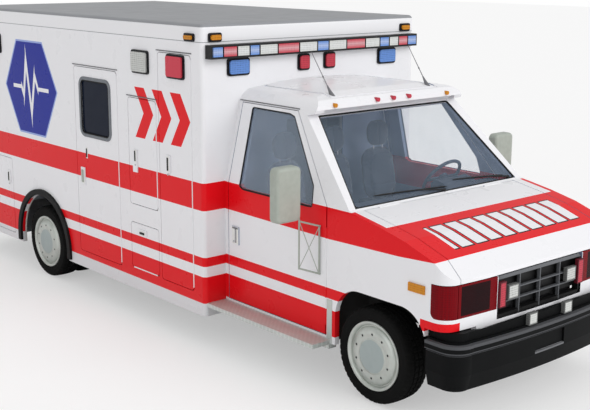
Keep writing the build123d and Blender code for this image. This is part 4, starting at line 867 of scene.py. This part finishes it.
# antennas: a cone foot on the roof, a coil and a thin whip
for side, sign in sides:
    foot, tip = at(sign * 0.549, 0.924, 2.128), at(sign * 0.554, 1.174, 2.467)
    piece = Piece("antenna_" + side)
    run = tip - foot
    shares = (0.0, 0.03, 0.12, 0.22, 0.26, 0.27, 0.44, 0.445, 0.475, 0.48, 0.985, 0.99, 1.0)
    sizes = (0.026, 0.022, 0.014, 0.0075, 0.0055, 0.0036, 0.0034, 0.0060, 0.0060, 0.0034, 0.0026, 0.0044, 0.0020)
    piece.tube([foot + run * share for share in shares], sizes, "greyPlastic", 14)
    piece.frame([foot + Vector((0.030 * math.cos(turn), 0.030 * math.sin(turn), 0.004 - 0.2 * 0.030 * -math.sin(turn)))
                 for turn in (2 * math.pi * step / 24 for step in range(24))], (0, -0.2, 1), bead(0.006, 0.005, 8),
                "rubber")
    piece.done("body", ("cab_trim",))
print("windows, wipers and antennas made")

# pulls and levers of the load box doors
levers = {
    # name: (door, middle behind the front axle, height, width, height of the lever, how proud its plate is)
    "lever_entry": ("entry_door", 3.573, 1.4065, 0.014, 0.084, 0.0),
    "lever_upper": ("locker_upper", 2.725, 1.4955, 0.015, 0.092, 0.010),
    "lever_front": ("locker_front", 2.222, 1.4950, 0.017, 0.112, 0.010),
    "lever_lower": ("locker_lower", 2.646, 0.8090, 0.072, 0.020, 0.010),
    "lever_rear": ("locker_rear", 5.196, 0.9370, 0.016, 0.092, 0.010),
    "lever_front_left": ("locker_front_left", 2.222, 1.4950, 0.017, 0.112, 0.010),
    "lever_rear_left": ("locker_rear_left", 5.196, 0.9370, 0.016, 0.092, 0.010),
}
for name, (door, behind, z, wide, high, plate) in levers.items():
    skin = "left" if door.endswith("_left") else "right"
    plane, normal = skins[skin]
    sign = normal[0]
    piece = Piece(name)
    proud = sorted((sign * (boxSide + plate), sign * (boxSide + plate + 0.009)))
    low, high2 = at(proud[0], behind - wide / 2, z - high / 2), at(proud[1], behind + wide / 2, z + high / 2)
    piece.block(low, high2, "blackPlastic", 0.003)
    inner = sorted((sign * (boxSide + plate), sign * (boxSide + plate + 0.003)))
    piece.block(at(inner[0], behind - wide / 2 - 0.008, z - high / 2 - 0.010),
                at(inner[1], behind + wide / 2 + 0.008, z + high / 2 + 0.010), "plate", 0.0012)
    lock = at(sign * (boxSide + plate), behind, z - high / 2 - 0.034)
    if plate and high > wide:
        piece.lathe([(0.0, 0.0095), (0.0035, 0.009), (0.0045, 0.0075), (0.0045, 0.0)], lock, sign, "chrome", 20,
                    closed=False)
        piece.block(lock + Vector((min(sign * 0.0044, sign * 0.0052), -0.0011, -0.005)),
                    lock + Vector((max(sign * 0.0044, sign * 0.0052), 0.0011, 0.005)), "blackPlastic", 0)
    piece.done(door)

# paddle pull of the entry door
piece = Piece("pull_entry")
piece.block(at(-boxSide - 0.020, 3.628, 1.118), at(-boxSide - 0.010, 3.662, 1.238), "mirrorShell", 0.004)
piece.block(at(-boxSide - 0.0125, 3.617, 1.109), at(-boxSide - 0.0098, 3.673, 1.247), "plate", 0.001)
piece.done("entry_door")

# pull handles of the cab doors: a grey grip in a white surround with a lock
for side, sign in sides:
    piece = Piece("door_pull_" + side)
    face = 1.009
    for low, high, proud, finish, bevel in (
            ((1.553, 1.020), (1.625, 1.034), 0.0035, "greyPlastic", 0.002),
            ((1.572, 0.905), (1.592, 1.022), 0.0030, "greyPlastic", 0.002),
            ((1.577, 0.912), (1.587, 1.014), 0.0060, "aluminium", 0.002),
            ((1.548, 0.893), (1.632, 1.033), 0.0015, "plate", 0.0005)):
        near, far = sorted((sign * face, sign * (face + proud)))
        piece.block(at(near, *low), at(far, *high), finish, bevel)
    piece.lathe([(0.0, 0.0115), (0.005, 0.011), (0.0062, 0.009), (0.0062, 0.0)], at(sign * face, 1.606, 0.912), sign,
                "chrome", 24, closed=False)
    piece.done("cab_door_" + side)

# mirror glass on the rear of each head
for side, sign in sides:
    piece = Piece("mirror_glass_" + side)
    rear = frontAxle + 0.714
    points = panel(lambda a, b: Vector((a, rear, b)), (sign * 1.243 - 0.100, 1.303), (sign * 1.243 + 0.100, 1.681), 0.034)
    piece.frame(points, (0, 1, 0), bead(0.006, 0.004, 8), "rubber")
    face = [piece.mesh.verts.new(point + Vector((0, 0.0015, 0))) for point in points]
    piece.mesh.faces.new(face).material_index = piece.finishIndex("mirrorGlass")
    piece.done("cab_door_" + side)

# drip rails over the doors
piece = Piece("drip_rails")
for start, end, z in ((2.995, 3.775, 2.2235), (2.384, 2.850, 2.0210), (1.870, 2.371, 2.4410)):
    for sign in (-1, 1):
        if sign < 0 or start < 2.0:
            piece.tube([at(sign * (boxSide + 0.003), start, z), at(sign * (boxSide + 0.003), end, z)], 0.0045,
                       "greyPlastic", 8)
for sign in (-1, 1):
    piece.tube([at(sign * 0.838, 0.985, 2.0585), at(sign * 0.838, 1.722, 2.0585)], 0.005, "greyPlastic", 8)
piece.done("body")

# rear: grab rails, lever handles and the blank plate
piece = Piece("rear_grab_rails")
for sign in (-1, 1):
    x = sign * 0.700
    path = [(0.000, 1.15), (0.020, 1.151), (0.040, 1.158), (0.048, 1.175), (0.050, 1.22), (0.050, 1.83),
            (0.048, 1.875), (0.040, 1.892), (0.020, 1.899), (0.000, 1.90)]
    piece.tube([Vector((x, rearFace + out, z)) for out, z in path], 0.014, "chrome", 16)
    for z in (1.15, 1.90):
        piece.tube([Vector((x, rearFace, z)), Vector((x, rearFace + 0.006, z))], 0.032, "chrome", 24)
piece.done("body")
for side, sign in sides:
    piece = Piece("rear_lever_" + side)
    near, far = sorted((sign * 0.083, sign * 0.107))
    piece.block((near, rearFace + 0.014, 1.195), (far, rearFace + 0.028, 1.305), "blackPlastic", 0.005)
    piece.block((near - 0.006, rearFace + 0.0138, 1.187), (far + 0.006, rearFace + 0.0175, 1.313), "chrome", 0.0015)
    piece.done("rear_door_" + side)
piece = Piece("plate_blank")
piece.block((0.160, rearFace - 0.001, 0.620), (0.480, rearFace + 0.003, 0.782), "plate", 0.001)
points = panel(skins["rear"][0], (0.164, 0.624), (0.476, 0.778), 0.012)
piece.frame([point + Vector((0, 0.003, 0)) for point in points], (0, 1, 0), bead(0.004, 0.0015, 8), "plate")
for x in (0.245, 0.395):
    piece.disc((x, rearFace + 0.0036, 0.762), (0, 1, 0), 0.006, "chrome", 16)
piece.done("rear_door_left")
print("handles, mirrors and rails made")

# dials and vents of the cab
piece = Piece("dash_dials")
dialFace = frontAxle + 0.6005
for x, radius in ((0.345, 0.030), (0.450, 0.037), (0.555, 0.030)):
    centre = Vector((x, dialFace, 1.349))
    ring = [centre + Vector((radius * math.cos(turn), 0, radius * math.sin(turn))) for turn in
            (2 * math.pi * step / 36 for step in range(36))]
    piece.frame(ring, (0, 1, 0), bead(0.0035, 0.004, 8), "chrome")
    piece.disc(centre + Vector((0, 0.0012, 0)), (0, 1, 0), radius, "blackPlastic", 36)
    for step in range(11):
        turn = math.radians(225 - 27 * step)
        outer = Vector((math.cos(turn), 0, math.sin(turn)))
        spot = centre + Vector((0, 0.0022, 0))
        piece.tube([spot + outer * radius * 0.72, spot + outer * radius * 0.9], 0.0008, "plate", 5)
    piece.tube([centre + Vector((0, 0.003, 0)), centre + Vector((-radius * 0.6, 0.003, radius * 0.35))], 0.0011,
               "lampLens", 5)
for x in (-0.78, -0.30, 0.06, 0.76):
    for row in range(5):
        z = 1.262 + row * 0.013
        piece.block((x - 0.055, dialFace - 0.006, z), (x + 0.055, dialFace + 0.004, z + 0.005), "blackPlastic", 0.001)
piece.done("body")

# padded seats: cushion, back and headrest, blown up by a short cloth run
seat = {"spacing": 0.545, "voxel": 0.012, "pressure": 4.0, "frames": 20, "cap": 0.024, "lean": math.atan2(0.09, 0.475)}
pads = {
    # middle behind the front axle and height, half sizes, lean, roundness, fill
    "cushion": ((1.215, 1.040), (0.222, 0.193, 0.052), -0.07, 3.6, 0.7),
    "back": ((1.487, 1.310), (0.220, 0.046, 0.262), seat["lean"], 3.0, 0.7),
    "headrest": ((1.512, 1.672), (0.126, 0.043, 0.116), seat["lean"] * 0.6, 2.6, 0.8),
}


def padMesh(half, power):
    # rounded box whose sides draw in towards the corners
    mesh = bmesh.new()
    bmesh.ops.create_cube(mesh, size=2.0)
    bmesh.ops.subdivide_edges(mesh, edges=mesh.edges, cuts=11, use_grid_fill=True)
    for vertex in mesh.verts:
        reach = sum(abs(value) ** power for value in vertex.co) ** (1 / power)
        vertex.co = Vector(value / reach * size for value, size in zip(vertex.co, half))
    data = bpy.data.meshes.new("pad")
    mesh.to_mesh(data)
    mesh.free()
    return data


def inflate(pad):
    # voxel remesh, a short cloth run under pressure with capped movement, then one subdivision
    remesh = pad.modifiers.new("remesh", "REMESH")
    remesh.mode = "VOXEL"
    remesh.voxel_size = seat["voxel"]
    bpy.context.view_layer.objects.active = pad
    bpy.ops.object.modifier_apply(modifier="remesh")
    start = [vertex.co.copy() for vertex in pad.data.vertices]
    cloth = pad.modifiers.new("cloth", "CLOTH")
    cloth.settings.use_pressure = True
    cloth.settings.uniform_pressure_force = seat["pressure"]
    cloth.settings.effector_weights.gravity = 0.0
    for step in range(1, seat["frames"] + 1):
        bpy.context.scene.frame_set(step)
    bpy.ops.object.modifier_apply(modifier="cloth")
    for vertex, first in zip(pad.data.vertices, start):
        move = vertex.co - first
        if move.length > seat["cap"]:
            vertex.co = first + move.normalized() * seat["cap"]
    bpy.context.scene.frame_set(1)
    smooth = pad.modifiers.new("smooth", "SUBSURF")
    smooth.levels = 1
    bpy.ops.object.modifier_apply(modifier="smooth")


def seamDepth(kind, place):
    # how far the cloth is drawn in at a sewn line, from a place in the pad's own axes
    across, through, up = place
    if kind == "cushion":
        lines = (abs(abs(across) - 0.150), abs(through - 0.02) if abs(across) < 0.15 else 1.0)
    elif kind == "back":
        panelEdge = ((abs(across) / 0.148) ** 3 + (abs(up + 0.02) / 0.215) ** 3) ** (1 / 3)
        lines = (abs(panelEdge - 1) * 0.17, abs(up + 0.10) if panelEdge < 1 else 1.0)
    else:
        lines = (abs(across + 0.020),)
    return max(0.0065 * math.exp(-(line / 0.0055) ** 2) for line in lines)


def addPads():
    made = []
    for kind, (middle, half, lean, power, fill) in pads.items():
        pattern = bpy.data.objects.new("pad_pattern", padMesh(half, power))
        bpy.context.collection.objects.link(pattern)
        inflate(pattern)
        data = pattern.data
        data.update()
        normals = [vertex.normal.copy() for vertex in data.vertices]
        for vertex, normal in zip(data.vertices, normals):
            vertex.co = vertex.co - normal * seamDepth(kind, vertex.co)
        data.materials.append(finishes["cloth"])
        data.shade_smooth()
        turn = Matrix.Rotation(-lean, 4, "X")
        for place in (-1, 0, 1):
            shape = data.copy()
            shape.transform(Matrix.Translation(at(place * seat["spacing"], *middle)) @ turn)
            cushion = bpy.data.objects.new("seat_%s_%d" % (kind, place + 2), shape)
            bpy.context.collection.objects.link(cushion)
            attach(cushion, "body")
            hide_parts("cab_seats")
            made.append(cushion)
        bpy.data.objects.remove(pattern)
    return made


seatPads = addPads()
piece = Piece("seat_bases")
for place in (-1, 0, 1):
    x = place * seat["spacing"]
    piece.block(at(x - 0.185, 1.085, 0.745), at(x + 0.185, 1.485, 0.930), "greyPlastic", 0.018, 3)
    piece.block(at(x - 0.205, 1.055, 0.930), at(x + 0.205, 1.490, 0.992), "blackPlastic", 0.012, 3)
    for sign in (-1, 1):
        piece.block(at(x + sign * 0.15 - 0.018, 1.060, 0.740), at(x + sign * 0.15 + 0.018, 1.500, 0.752),
                    "aluminium", 0.003)
        piece.tube([at(x + sign * 0.055, 1.500, 1.500), at(x + sign * 0.055, 1.508, 1.610)], 0.006, "chrome", 12)
    piece.block(at(x - 0.200, 1.470, 0.985), at(x + 0.200, 1.545, 1.090), "blackPlastic", 0.02, 3)
piece.done("body", ("cab_seats",))
print("seats made")


# studio floor
floorShade = Shade("studio floor")
lit = floorShade.node("ShaderNodeBsdfDiffuse", inputs={"Color": (*studio["floor"], 1.0)})
bright = floorShade.node("ShaderNodeEmission")
seenLift = floorShade.node("ShaderNodeLightPath", output="Is Camera Ray") * studio["lift"]
floorPaint = floorShade.output(floorShade.node("ShaderNodeMixShader", inputs={0: seenLift, 1: lit, 2: bright}))
floorMesh = bpy.data.meshes.new("studio floor")
floorMesh.from_pydata([(-60, -60, 0), (60, -60, 0), (60, 60, 0), (-60, 60, 0)], [], [(0, 1, 2, 3)])
floorMesh.materials.append(floorPaint)
floor = bpy.data.objects.new("studio_floor", floorMesh)
bpy.context.collection.objects.link(floor)
world = bpy.data.worlds.new("studio world")
world.use_nodes = True
bpy.context.scene.world = world
tree = world.node_tree
tree.nodes.clear()
path = tree.nodes.new("ShaderNodeLightPath")
seen = tree.nodes.new("ShaderNodeMath")
seen.operation = "MAXIMUM"
tree.links.new(path.outputs["Is Camera Ray"], seen.inputs[0])
tree.links.new(path.outputs["Is Transmission Ray"], seen.inputs[1])
strength = tree.nodes.new("ShaderNodeMath")
strength.operation = "MULTIPLY_ADD"
strength.inputs[1].default_value = 1.0 - studio["world"]
strength.inputs[2].default_value = studio["world"]
tree.links.new(seen.outputs[0], strength.inputs[0])
glow = tree.nodes.new("ShaderNodeBackground")
tree.links.new(strength.outputs[0], glow.inputs["Strength"])
glow.inputs["Color"].default_value = (1, 1, 1, 1)
out = tree.nodes.new("ShaderNodeOutputWorld")
tree.links.new(glow.outputs[0], out.inputs["Surface"])
print("studio made")
